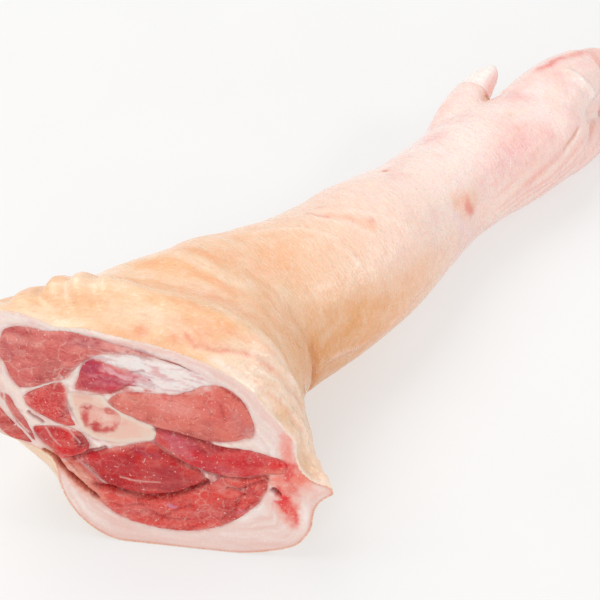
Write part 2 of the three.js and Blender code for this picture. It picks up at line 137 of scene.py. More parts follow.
def evenly(points, step, closed):
    points = np.asarray(points, float)
    if closed:
        points = np.vstack([points, points[:1]])
    lengths = np.linalg.norm(np.diff(points, axis=0), axis=1)
    along = np.concatenate([[0], np.cumsum(lengths)])
    count = max(int(round(along[-1] / step)), 3)
    marks = np.linspace(0, along[-1], count + 1)
    if closed:
        marks = marks[:-1]
    return np.stack([np.interp(marks, along, column) for column in points.T], -1)


def smooth_line(corners, step, closed):
    """A centripetal curve through the corners, as evenly spaced points."""
    p = np.asarray(corners, float)
    if closed:
        p = np.vstack([p[-1:], p, p[:2]])
    else:
        p = np.vstack([2 * p[:1] - p[1:2], p, 2 * p[-1:] - p[-2:-1]])
    share = np.linspace(0, 1, 12, endpoint=False)[:, None]
    dense = []
    for a, b, c, d in zip(p, p[1:], p[2:], p[3:]):
        before, here, after = (max(np.linalg.norm(q - r), 1e-6) ** 0.5 for q, r in ((a, b), (b, c), (c, d)))
        start = ((b - a) / before - (c - a) / (before + here) + (c - b) / here) * here
        end = ((c - b) / here - (d - b) / (here + after) + (d - c) / after) * here
        square, cube = share**2, share**3
        dense.append(
            (2 * cube - 3 * square + 1) * b + (cube - 2 * square + share) * start
            + (3 * square - 2 * cube) * c + (cube - square) * end
        )
    if not closed:
        dense.append(p[-2:-1])
    return evenly(np.vstack(dense), step, closed)


def reach_at(outline, angles):
    """How far a closed outline round the origin reaches at each angle."""
    a, b = outline, np.roll(outline, -1, axis=0)
    dx, dy = np.cos(angles)[:, None], np.sin(angles)[:, None]
    edge = b - a
    cross = dx * edge[:, 1] - dy * edge[:, 0]
    cross = np.where(np.abs(cross) < 1e-9, 1e-9, cross)
    along = (a[:, 0] * edge[:, 1] - a[:, 1] * edge[:, 0]) / cross
    share = (a[:, 0] * dy - a[:, 1] * dx) / cross
    hit = (share > -1e-6) & (share < 1 + 1e-6)
    return np.where(hit, along, 0).max(1)


def superellipse(angle, near, far, up, down, square):
    c, s = np.cos(angle), np.sin(angle)
    across = np.abs(c) / np.where(c > 0, near, far)
    tall = np.abs(s) / np.where(s > 0, up, down)
    return (across**square + tall**square) ** (-1 / square)


def turn_between(angle, degrees):
    turn = angle - np.radians(degrees)
    return np.degrees(np.arctan2(np.sin(turn), np.cos(turn)))


def bell(distance, width):
    return np.exp(-((distance / width) ** 2))


def between(values, t):
    """Smooth values between values that are one station apart."""
    values, t = np.asarray(values, float), np.asarray(t, float)
    i = np.clip(np.floor(t).astype(int), 0, len(values) - 2)
    f = (t - i).reshape(t.shape + (1,) * (values.ndim - 1))
    padded = np.concatenate([2 * values[:1] - values[1:2], values, 2 * values[-1:] - values[-2:-1]])
    a, b, c, d = padded[i], padded[i + 1], padded[i + 2], padded[i + 3]
    first, second = (c - a) / 2, (d - b) / 2
    return (
        (2 * f**3 - 3 * f**2 + 1) * b + (f**3 - 2 * f**2 + f) * first
        + (3 * f**2 - 2 * f**3) * c + (f**3 - f**2) * second
    )


def lattice_noise(points, size, seed):
    """Smooth noise from -1 to 1 whose lumps are about the given size."""
    p = np.asarray(points, float) / size
    if p.shape[-1] == 2:
        p = np.concatenate([p, np.zeros(p.shape[:-1] + (1,))], -1)
    cell = np.floor(p).astype(np.int64)
    f = p - cell
    f = f * f * (3 - 2 * f)
    total = 0
    for dx in (0, 1):
        for dy in (0, 1):
            for dz in (0, 1):
                h = (cell[..., 0] + dx) * 374761393 + (cell[..., 1] + dy) * 668265263
                h = h + (cell[..., 2] + dz) * 1440662683 + seed * 1274126177
                h = ((h ^ (h >> 13)) * 1274126177) & 0x7FFFFFFFFFFF
                value = ((h ^ (h >> 16)) & 0xFFFFFF) / 0x7FFFFF - 1
                weight = (f[..., 0] if dx else 1 - f[..., 0]) * (f[..., 1] if dy else 1 - f[..., 1])
                total = total + value * weight * (f[..., 2] if dz else 1 - f[..., 2])
    return total


def cloud(points, size, seed, octaves=3):
    return sum(lattice_noise(points, size / 2**k, seed + 31 * k) / 2**k for k in range(octaves))


def line_distance(points, line, closed=False):
    line = np.asarray(line, float)
    ends = np.roll(line, -1, axis=0) if closed else line[1:]
    best = np.full(len(points), 1e9)
    for a, b in zip(line, ends):
        ab = b - a
        share = np.clip(((points - a) @ ab) / max(ab @ ab, 1e-9), 0, 1)
        best = np.minimum(best, np.linalg.norm(points - a - share[:, None] * ab, axis=1))
    return best


def inside(points, loop):
    x, y = points[:, 0], points[:, 1]
    odd = np.zeros(len(points), bool)
    ax, ay = loop[-1]
    for bx, by in loop:
        if ay != by:
            odd ^= ((ay > y) != (by > y)) & (x < (bx - ax) * (y - ay) / (by - ay) + ax)
        ax, ay = bx, by
    return odd


def smooth_step(x):
    x = np.clip(x, 0, 1)
    return x * x * (3 - 2 * x)


def linear(colour):
    """A colour of 0 to 255 as seen on a screen, as the light it stands for."""
    c = np.asarray(colour, float) / 255
    return np.where(c < 0.04045, c / 12.92, ((c + 0.055) / 1.055) ** 2.4)


def mixed(base, colour, weight):
    return base + (linear(colour) - base) * np.clip(weight, 0, 1)[:, None]


# The hide as a surface of stations down the leg and angles round it
cut_outline = smooth_line(CUT_EDGE, 2.4, True) - CUT_MIDDLE
cut_middle = cut_point(CUT_MIDDLE)
keys = np.array([(*cut_middle, CUT_HEADING, CUT_LEAN, *CUT_REACH.values(), 2)] + [list(s) for s in STATIONS])
MIDDLE, HEADING, LEAN = slice(0, 3), 3, 4


def reach_table(angles):
    rows = [reach_at(cut_outline, angles)]
    for i, station in enumerate(STATIONS):
        reach = superellipse(angles, *station[5:])
        for middle, width, heights in SWELLINGS:
            if i < len(heights):
                reach = reach + heights[i] * bell(turn_between(angles, middle), width)
        rows.append(reach)
    return np.array(rows)


def skin_relief(t, angle):
    turn = np.degrees(angle) % 360
    phase = (FOLD_FIRST - turn - FOLD_SKEW * (1.1 - t) + 1.5 * np.sin(3 * t)) / FOLD_SPACING
    wave = np.abs(np.cos(math.pi * phase)) ** 0.8 - 0.68
    window = smooth_step((t - 0.15) / 0.5) * smooth_step((2.3 - t) / 0.7)
    folds = FOLD_HEIGHT * wave * window * smooth_step((turn - 103) / 8) * smooth_step((154 - turn) / 12)
    for height, station, length, middle, width in FOLD_LUMPS:
        folds = folds + height * bell(t - station, length) * bell(turn - middle, width)
    bend = turn_between(angle, CREASE_ANGLE)
    crease = CREASE_DEPTH * bell(t - CREASE_AT + 0.006 * np.maximum(bend, 0), CREASE_WIDTH)
    return folds - crease * bell(bend, CREASE_SPAN)


def hide_grid(t, angles):
    middle = between(keys[:, MIDDLE], t)
    side, up, _ = section_axes(between(keys[:, HEADING], t), between(keys[:, LEAN], t))
    reach = between(reach_table(angles), t) + skin_relief(t[:, None], angles[None, :])
    points = (
        middle[:, None]
        + (np.cos(angles) * reach)[..., None] * side[:, None]
        + (np.sin(angles) * reach)[..., None] * up[:, None]
    )
    points[..., 2] = np.maximum(points[..., 2], 0)
    return points


def limb_grid(stations, t, angles, share=1.0):
    stations = np.array(stations, float)
    last = len(stations) - 1
    middle = between(stations[:, :3], t)
    ahead = between(stations[:, :3], np.minimum(t + 0.1, last))
    ahead = ahead - between(stations[:, :3], np.maximum(t - 0.1, 0))
    ahead /= np.linalg.norm(ahead, axis=1)[:, None]
    side = np.stack([ahead[:, 1], -ahead[:, 0], np.zeros(len(t))], -1)
    side /= np.linalg.norm(side, axis=1)[:, None]
    up = np.cross(side, ahead)
    breadth, height = between(stations[:, 3], t) * share, between(stations[:, 4], t) * share
    return (
        middle[:, None]
        + (np.cos(angles)[None] * breadth[:, None])[..., None] * side[:, None]
        + (np.sin(angles)[None] * height[:, None])[..., None] * up[:, None]
    )


def tube_faces(rows, columns):
    """Faces of a tube of rings whose ends are closed on the two points after the rings."""
    faces = []
    first, last = rows * columns, rows * columns + 1
    for i in range(columns):
        j = (i + 1) % columns
        faces.append((first, i, j))
        for r in range(rows - 1):
            a, b = r * columns + i, r * columns + j
            faces.append((a, a + columns, b + columns, b))
        faces.append((last, (rows - 1) * columns + j, (rows - 1) * columns + i))
    return faces


def tube(rings):
    points = np.vstack([rings.reshape(-1, 3), rings[0].mean(0)[None], rings[-1].mean(0)[None]])
    return points, tube_faces(rings.shape[0], rings.shape[1])


def joined(parts):
    points, faces, start = [], [], 0
    for part_points, part_faces in parts:
        points.append(part_points)
        faces += [tuple(i + start for i in face) for face in part_faces]
        start += len(part_points)
    return np.vstack(points), faces


def placed(points):
    return (np.asarray(points, float) - SHIFT) * MM


def new_object(name, points, faces):
    mesh = bpy.data.meshes.new(name)
    mesh.from_pydata(placed(points).tolist(), [], [tuple(int(i) for i in f) for f in faces])
    mesh.validate()
    piece = bpy.data.objects.new(name, mesh)
    bpy.context.scene.collection.objects.link(piece)
    return piece


def points_of(mesh):
    co = np.empty(len(mesh.vertices) * 3)
    mesh.vertices.foreach_get("co", co)
    return co.reshape(-1, 3) / MM + SHIFT


def fused(parts, voxel):
    """Overlapping closed forms as one smooth skin."""
    source = new_object("fused", *joined(parts))
    change = source.modifiers.new("fuse", "REMESH")
    change.mode = "VOXEL"
    change.voxel_size = voxel * MM
    evaluated = source.evaluated_get(bpy.context.evaluated_depsgraph_get())
    mesh = bpy.data.meshes.new_from_object(evaluated)
    points = points_of(mesh)
    faces = np.empty(len(mesh.loops), np.int64)
    mesh.loops.foreach_get("vertex_index", faces)
    bpy.data.objects.remove(source)
    bpy.data.meshes.remove(mesh)
    return points, faces.reshape(-1, 4)


def relaxed(points, quads, rounds, weight=1.0):
    """Evens out a surface without shrinking it."""
    a = quads.ravel()
    b = np.roll(quads, -1, axis=1).ravel()
    start, end = np.concatenate([a, b]), np.concatenate([b, a])
    count = np.bincount(start, minlength=len(points))[:, None]
    for step in (0.55, -0.57) * rounds:
        mean = np.stack([np.bincount(start, points[end, k], len(points)) for k in range(3)], -1) / count
        points = points + (mean - points) * step * weight
    return points


def normals_of(points, quads):
    p = points[quads]
    face = np.cross(p[:, 2] - p[:, 0], p[:, 3] - p[:, 1])
    total = np.zeros_like(points)
    for k in range(4):
        for axis in range(3):
            total[:, axis] += np.bincount(quads[:, k], face[:, axis], len(points))
    return total / np.maximum(np.linalg.norm(total, axis=1), 1e-9)[:, None]


def nearest_of(points):
    found = KDTree(len(points))
    for i, p in enumerate(points):
        found.insert(p, i)
    found.balance()
    return found


# A dense sample of the hide, by which a point's station, angle and place along the leg are found
sample_t = np.arange(-0.25, 14.01, 0.05)
sample_angles = np.radians(np.arange(0, 360, 2.5))
sample = hide_grid(sample_t, sample_angles)
tree = nearest_of(sample.reshape(-1, 3))
middles = between(keys[:, MIDDLE], sample_t)
lengths = np.concatenate([[0], np.cumsum(np.linalg.norm(np.diff(middles, axis=0), axis=1))])


def leg_places(points):
    """Station, angle in degrees, and (along, across, up) of points of the hide."""
    nearest = np.array([tree.find(p)[1] for p in points])
    row = nearest // len(sample_angles)
    t = sample_t[row]
    side, up, inward = section_axes(between(keys[:, HEADING], t), between(keys[:, LEAN], t))
    local = points - middles[row]
    along = lengths[row] + (local * inward).sum(1)
    across, tall = (local * side).sum(1), (local * up).sum(1)
    return t, np.degrees(np.arctan2(tall, across)), np.stack([along, across, tall], -1)


# Marks of the skin: places on it in millimetres, with their height and half width
STRETCH_MARKS = [
    [(138.8, 67.9, 80.1), (142.4, 58.8, 80.2), (148.5, 50.3, 78.6), (155.1, 40.9, 74.6)],
    [(104.2, 72.6, 86.3), (113.4, 71.1, 84.3), (123, 65, 82.9), (130.5, 56, 81.4), (136.1, 45.7, 78.6)],
    [(156.9, 58.6, 78.9), (164, 49.5, 77), (171, 43, 73), (177.6, 37.9, 68.7)],
    [(120, 58, 84), (128, 50, 81), (134, 42, 78), (138, 33, 72)],
]
UNDER_SEAM = [
    (104, 20, 40), (114.7, 19.4, 36.6), (125.7, 19.8, 33.6), (134.7, 20.2, 32.1), (144.9, 21, 31.5),
    (154, 21.4, 33.5), (162.6, 22, 36.4), (170.2, 23, 38.4), (180, 26, 40),
]
LOBE_RIDGES = [
    [(34, -3, 98), (39, -8, 92), (43, -12, 84), (48, -14, 75), (49, -17, 67), (49, -22, 58)],
    [(32, -7, 93), (37, -11, 87), (41, -15, 79), (44, -18, 71), (47, -21, 63), (47, -26, 54)],
    [(38, 2, 101), (45, -3, 94), (50, -8, 85), (54, -10, 76), (55, -13, 66)],
]
RED_SCRATCH = [
    (17, 22, 112.6), (18, 16.8, 110), (23.7, 10.4, 107.3), (31.6, 4.4, 104.8), (39.9, -1.8, 99.8),
    (42, -6, 94),
]
TOE_GROOVE = [
    (310, 42.3, 42), (312.8, 42.6, 43.1), (317.5, 43.7, 44.1), (322.2, 44.9, 45.1), (327, 46.7, 45.8),
]
CORONET = [(347, 72, 60), (348.6, 68.1, 59.3), (350.6, 64.4, 56.8), (352.9, 61.3, 52.3), (355.6, 59.7, 46.9)]
RIDGES = [
    *((line, 1.5, 1.4) for line in LOBE_RIDGES),
    *((line, 0.45, 1.3) for line in STRETCH_MARKS),
    ([(31, -11, 88), (34, -15, 81), (38, -18, 76), (42, -20, 70)], -1.2, 2.6),
    ([(42, -25, 57), (43, -28, 51), (43, -33, 47)], -1.8, 4),
    (RED_SCRATCH, -0.4, 1.2), (UNDER_SEAM, 0.9, 1.5), (TOE_GROOVE, -1.1, 1.3),
    (CORONET, 1.5, 2.2), ([(340, 68, 60), (345, 64, 57), (347, 60, 50)], -0.9, 2.2),
]
DENTS = [
    ((201.4, 76.4, 68.5), 1.6, 0.9), ((229, 42, 48.5), 3.5, 0.5), ((337.4, 62.4, 56.9), 2.6, 1.0),
    ((294, 69.5, 61), 1.6, 0.4), ((303, 95.2, 52), 3.2, 1.6), ((309, 97, 50), 3.2, 1.6),
]
CRUMBS = [
    ((73.6, 6.2, 51.4), 1.5), ((73.9, 5.4, 48.8), 0.9), ((74.4, 7.4, 53.2), 0.7), ((103, 18.4, 40), 0.5),
    ((122, 19.4, 34), 0.6), ((131, 19.6, 32.4), 0.45), ((141, 20.2, 31.8), 0.55), ((152, 20.8, 33.2), 0.45),
    ((119, 19, 37), 0.4), ((94, 18.6, 38), 0.4), ((78, 13.4, 36), 0.5),
]


def snapped(line, points, near):
    """A smooth line through the places, drawn onto the surface."""
    return points[[near.find(p)[1] for p in smooth_line(line, 3, False)]]


def foot_stripes(points, leg, angle):
    """Long narrow pleats on the near lower side of the foot, from 0 to 1."""
    where = smooth_step((points[:, 0] - 238) / 30) * smooth_step((34 - angle) / 22)
    where = where * smooth_step((angle + 120) / 30)
    wander = 1.6 * lattice_noise(leg * np.array([0.04, 0.5, 0.5]), 4, 19)
    wave = 0.5 + 0.5 * np.cos(2 * math.pi * (leg[:, 2] * 0.8 - 0.14 * leg[:, 0] + 1.6 * wander) / 5.4)
    return where * wave * (0.65 + 0.35 * lattice_noise(leg * np.array([0.08, 1, 1]), 5, 21))


def marked(points, quads):
    """The skin with its soft unevenness, ridges, folds and dents."""
    t, angle, leg = leg_places(points)
    normal = normals_of(points, quads)
    along = leg * np.array([1 / 2.2, 1, 1])
    height = 0.6 * cloud(points, 26, 3, 2) + 0.2 * cloud(along, 5, 11, 2)
    height += 0.12 * foot_stripes(points, leg, angle)
    gather = bell(points[:, 0] - 34, 30) * smooth_step((62 - angle) / 40) * smooth_step((angle + 70) / 30)
    height += gather * 0.8 * lattice_noise(np.stack([t * 9 + angle * 0.03, angle * 0.02], -1), 1.0, 29)
    near = nearest_of(points)
    for line, rise, width in RIDGES:
        height += rise * bell(line_distance(points, snapped(line, points, near)), width)
    for place, radius, depth in DENTS:
        height -= depth * bell(np.linalg.norm(points - np.array(place), axis=1), radius)
    height *= smooth_step(points[:, 2] / 3)
    moved = points + normal * height[:, None]
    moved[:, 2] = np.maximum(moved[:, 2], 0)
    return moved


def built_skin():
    angles = np.radians(np.arange(0, 360, 2.4))
    t = np.concatenate([np.linspace(-0.3, 5, 150), np.linspace(5.1, 14, 110)])
    parts = [tube(hide_grid(t, angles))]
    round_angles = np.radians(np.arange(0, 360, 9))
    for first, stations in TOES.values():
        fine = np.linspace(0, len(stations) - 1, 241)
        x = between(np.array(stations, float)[:, 0], fine)
        parts.append(tube(limb_grid(stations, fine[x <= first], round_angles)))
    web = [(336, 70, 32, 12, 12), (352, 68, 32, 10, 10), (366, 67, 32, 7, 8), (378, 67, 31, 3, 4)]
    parts.append(tube(limb_grid(web, np.linspace(0, 3, 40), round_angles)))
    points, quads = fused(parts, VOXEL)
    points = relaxed(points, quads, 4)
    points = marked(points, quads)
    return cut_off(points, quads)


def cut_off(points, quads):
    """The skin behind the saw cut, and the order of its points along the cut."""
    build = bmesh.new()
    vertices = [build.verts.new(p) for p in points]
    for quad in quads:
        build.faces.new([vertices[i] for i in quad])
    geometry = build.verts[:] + build.edges[:] + build.faces[:]
    bmesh.ops.bisect_plane(
        build, geom=geometry, dist=1e-4, plane_co=Vector(CUT_FOOT), plane_no=Vector(-INWARD),
        clear_outer=True,
    )
    loose = [v for v in build.verts if not v.link_faces]
    bmesh.ops.delete(build, geom=loose, context="VERTS")
    rim = [v for v in build.verts if any(len(e.link_faces) == 1 for e in v.link_edges)]
    bmesh.ops.remove_doubles(build, verts=rim, dist=0.35)
    build.verts.index_update()
    build.verts.ensure_lookup_table()
    follows = {}
    for edge in build.edges:
        if len(edge.link_faces) == 1:
            a, b = (v.index for v in edge.verts)
            follows.setdefault(a, []).append(b)
            follows.setdefault(b, []).append(a)
    start = next(iter(follows))
    loop, before = [start], None
    while True:
        here = loop[-1]
        after = next((i for i in follows[here] if i != before and (i != start or len(loop) > 2)), None)
        if after is None or after == start:
            break
        before = here
        loop.append(after)
    points = np.array([v.co for v in build.verts])
    faces = [tuple(v.index for v in f.verts) for f in build.faces]
    build.free()
    return points, faces, loop


# The pieces that show at the cut, as outlines on it: what they narrow towards and how deep they run,
# how far they swell, their colour and how strongly the pale network shows
REGIONS = {
    "bone": dict(
        anchor=(-55, 70), depth=96, swell=0.2, colour=(234, 208, 192), marbling=0,
        edge=[(-72, 82.8), (-68, 83.3), (-63, 83), (-57, 83), (-54.5, 79), (-49, 74.8), (-41.4, 71),
              (-34, 67.7), (-34.2, 62), (-39.5, 60), (-47.7, 58), (-56, 58), (-62, 59), (-67, 63),
              (-70, 70), (-72, 76)],
    ),
    "marrow": dict(
        anchor=(-59, 70), depth=58, swell=-0.3, colour=(235, 174, 158), marbling=0,
        edge=[(-67.4, 77), (-63, 78.3), (-59, 76.5), (-52, 76), (-49, 71.4), (-50.6, 66.3), (-55.8, 62),
              (-60.8, 62.5), (-65.7, 65.7), (-67.6, 71.6)],
    ),
    "muscle_over_bone": dict(
        anchor=(-54, 92), depth=70, swell=0.5, colour=(212, 62, 82), marbling=0.25,
        edge=[(-67, 93.5), (-65.5, 98), (-62.3, 101.4), (-57.3, 102.7), (-55, 100.8), (-48.4, 99),
              (-40.7, 97.2), (-34, 93), (-33, 90.4), (-41, 90.2), (-46.7, 89), (-50.8, 85.4),
              (-55.8, 84), (-63, 84.6), (-68.8, 85.2), (-68, 90)],
    ),
    "muscle_front": dict(
        anchor=(-16, 78), depth=92, swell=1.6, colour=(222, 114, 100), marbling=0.5,
        edge=[(-54.5, 80), (-50.4, 84.6), (-42.8, 86.4), (-33, 86.8), (-25, 87), (-18, 90.4), (-11, 94),
              (-5, 94.4), (0.8, 92), (5.8, 86.6), (8.8, 80.9), (10.8, 73.8), (9.8, 68.9), (2.9, 65.4),
              (-5, 63.6), (-13, 64), (-23, 66.3), (-33, 68.6), (-43, 72.2), (-49.5, 75.4)],
    ),
    "muscle_front_band": dict(
        anchor=(-5, 53), depth=80, swell=1.0, colour=(208, 34, 46), marbling=0.35,
        edge=[(-33.4, 67), (-23, 65.2), (-13, 62.6), (-4, 61), (6.9, 60.9), (15, 59.5), (25, 55.7),
              (26, 52), (24, 49.3), (15, 47.6), (5, 44.8), (-5, 44.6), (-13.3, 46.4), (-21.4, 50.4),
              (-29.5, 57), (-33.8, 61)],
    ),
    "muscle_core": dict(
        anchor=(-38, 43), depth=76, swell=2.4, colour=(192, 10, 20), marbling=0.25,
        edge=[(-66, 48.6), (-56, 53.4), (-47.7, 56.7), (-39, 59.2), (-35.4, 60), (-29.5, 56.3),
              (-21.4, 49.6), (-14.3, 46.4), (-10.8, 42), (-10.3, 39.7), (-16.6, 35.8), (-25.8, 31.6),
              (-34, 29.6), (-42.6, 29.7), (-50.7, 30.5), (-57.7, 34.7), (-62.7, 40.6), (-66.6, 45.6)],
    ),
    "muscle_under": dict(
        anchor=(-30, 17.5), depth=90, swell=1.0, colour=(220, 62, 54), marbling=0.6,
        edge=[(-75, 45.5), (-67, 33.5), (-63, 26), (-55, 18), (-45, 12.7), (-34.6, 10.6), (-24, 10),
              (-11.5, 12.4), (-1, 17.4), (7, 23.8), (14, 32.4), (17, 40.6), (16.4, 46.4), (6, 43.8),
              (-4, 43.6), (-9.3, 39.2), (-18.6, 34), (-30, 29), (-42, 28.6), (-51, 29.4), (-58, 33.4),
              (-64.8, 40.4), (-69.7, 45.4)],
    ),
    "muscle_under_bone": dict(
        anchor=(-76, 56), depth=70, swell=1.3, colour=(204, 14, 26), marbling=0.4,
        edge=[(-89.4, 61.7), (-82.7, 63.6), (-73.9, 64.2), (-67.5, 61), (-64.3, 55.6), (-65.5, 50.3),
              (-70.7, 46.9), (-75.9, 47.2), (-82, 51), (-86.8, 55.5)],
    ),
    "muscle_back": dict(
        anchor=(-80, 75), depth=78, swell=1.2, colour=(212, 52, 52), marbling=0.9,
        edge=[(-93, 78.5), (-88, 82.5), (-81.3, 86.2), (-74.7, 88), (-72.9, 84.5), (-73, 76),
              (-71.9, 69.5), (-70.4, 65.2), (-77, 65), (-82.9, 67.8), (-87.9, 70.8), (-91.7, 74)],
    ),
    "muscle_top_back": dict(
        anchor=(-72, 108), depth=88, swell=1.5, colour=(206, 92, 90), marbling=1.0,
        edge=[(-99, 113.4), (-91, 116.2), (-81, 114.8), (-71, 115.6), (-61.6, 114.2), (-51.6, 111.6),
              (-42, 109.4), (-32.4, 106.6), (-24.6, 104.4), (-17, 101), (-28.5, 105), (-35, 106.3),
              (-44, 106.3), (-52, 105.6), (-59, 104.2), (-65.4, 99.9), (-70, 94), (-73, 90.2),
              (-80, 87.6), (-88, 84.2), (-94, 83.5), (-98, 89), (-100.6, 95.8), (-102.8, 102)],
    ),
    "muscle_back_strip": dict(
        anchor=(-97, 68), depth=60, swell=0.7, colour=(208, 102, 98), marbling=0.3,
        edge=[(-103.4, 79.3), (-99.6, 78.4), (-97, 72.8), (-93.6, 67.2), (-90.2, 58.8), (-89.2, 54.6),
              (-96.5, 63.4), (-100.9, 72.8)],
    ),
    "muscle_back_low": dict(
        anchor=(-101, 62), depth=60, swell=0.8, colour=(208, 84, 78), marbling=0.6,
        edge=[(-110, 76), (-104.6, 71.8), (-101, 66.5), (-96.3, 60.7), (-92.6, 56.2), (-90.6, 53),
              (-99.4, 54.6), (-103, 56.8), (-105.4, 59.2), (-110.4, 66.5)],
    ),
}

# Folds cut into the face: line, depth and half width, and how strongly the fold is painted dark red, which
# is partly the tissue's colour and partly painted shade in the fold
SLIT = [(-85, 49.4), (-80, 46), (-78, 42), (-73, 36), (-70, 33), (-65, 28), (-62, 25)]
FOLDS = [
    (SLIT, 5.5, 0.75, 0.6),
    ([(-62, 32), (-59, 32), (-50, 30), (-43, 28), (-36, 28), (-28, 30), (-21, 33), (-17, 36), (-11, 40)],
     3.2, 1.3, 0.95),
    ([(-32, 56), (-24, 51), (-18, 48), (-12, 46), (-4, 44), (8, 44), (17, 47)], 1.2, 0.8, 0.55),
    ([(17, 45), (9, 41), (4, 38), (-1, 38)], 1.4, 0.9, 0.7),
    ([(-34, 67), (-22, 65), (-11, 62), (-5, 60), (4, 60)], 1.5, 0.9, 0.7),
    ([(-70, 116), (-62, 114.6), (-57, 113.2), (-50, 111.6), (-42, 109.6), (-37, 108), (-31, 106.4),
      (-22, 103.8)], 0.02, 0.4, 0.2),
    ([(-4, 93.4), (0, 91), (4, 87.6)], 0.8, 0.6, 0.5),
    ([(-72, 46), (-68, 48), (-64, 51), (-57, 54)], 1.6, 0.9, 0.8),
    ([(-43, 18), (-38, 21), (-30, 17), (-19, 18)], 0.9, 0.8, 0.4),
    ([(-32, 16), (-28, 20), (-24, 23), (-18, 26)], 0.8, 0.7, 0.35),
    ([(-4, 20), (-1, 23), (3, 27), (4, 33), (7, 36)], 1.0, 0.7, 0.5),
    ([(13, 33), (10, 30), (7, 26)], 0.8, 0.6, 0.45),
    ([(-55, 23), (-49, 22), (-44, 23), (-37, 24)], 0.7, 0.7, 0.3),
    ([(-91, 70), (-89, 68), (-87, 67), (-85, 65)], 2.2, 0.7, 0.9),
    ([(-54, 85), (-49, 87), (-46, 89)], 0.6, 0.6, 0.5),
    ([(-44, 97), (-41, 98), (-38, 99)], 0.4, 0.6, 0.45),
    ([(-11, 86), (-9, 82), (-8, 79)], 0.4, 0.6, 0.35),
    ([(-4, 85), (-3, 81), (-2, 77)], 0.4, 0.6, 0.35),
    ([(20.2, 39.6), (22.2, 38)], 3.5, 1.1, 1.0),
]

# Pale lines of sinew and fat: line, half width and strength
PALE_LINES = [
    ([(-104, 90), (-101, 86), (-96, 80.6), (-93.6, 75), (-92, 70)], 1.2, 0.9),
    ([(-93, 69), (-90, 65.6), (-84, 64.2), (-77, 64.4), (-70, 62.5)], 0.7, 0.85),
    ([(-102, 80), (-101, 72), (-96, 64), (-92, 59)], 0.45, 0.8),
    ([(-93, 82.6), (-88, 83.4), (-82, 86.8), (-78, 88.4), (-75, 89.6)], 0.5, 0.65),
    ([(-75, 91), (-73.4, 86), (-72.6, 80)], 0.8, 0.9),
    ([(-84, 63), (-80, 57), (-77, 54)], 0.3, 0.5),
    ([(-74, 64), (-71, 60), (-68, 56)], 0.3, 0.45),
    ([(-20, 49), (-18, 48), (-12, 46), (-10, 42)], 0.5, 0.7),
    ([(-7, 63), (-5, 62.4), (1, 62.4), (6, 63.4), (11, 65.4)], 0.9, 0.75),
    ([(-1, 39), (3, 38.2), (6, 38.4)], 0.5, 0.75),
    ([(-50, 40), (-44, 39), (-37, 39), (-32, 39)], 0.4, 0.45),
    ([(-73, 90), (-70, 94.6), (-66, 100)], 0.9, 0.55),
    ([(-60, 104), (-50, 106.2), (-36, 106.4), (-22, 105)], 0.7, 0.5),
    ([(-70, 46), (-63, 39), (-57, 33)], 0.5, 0.3),
]
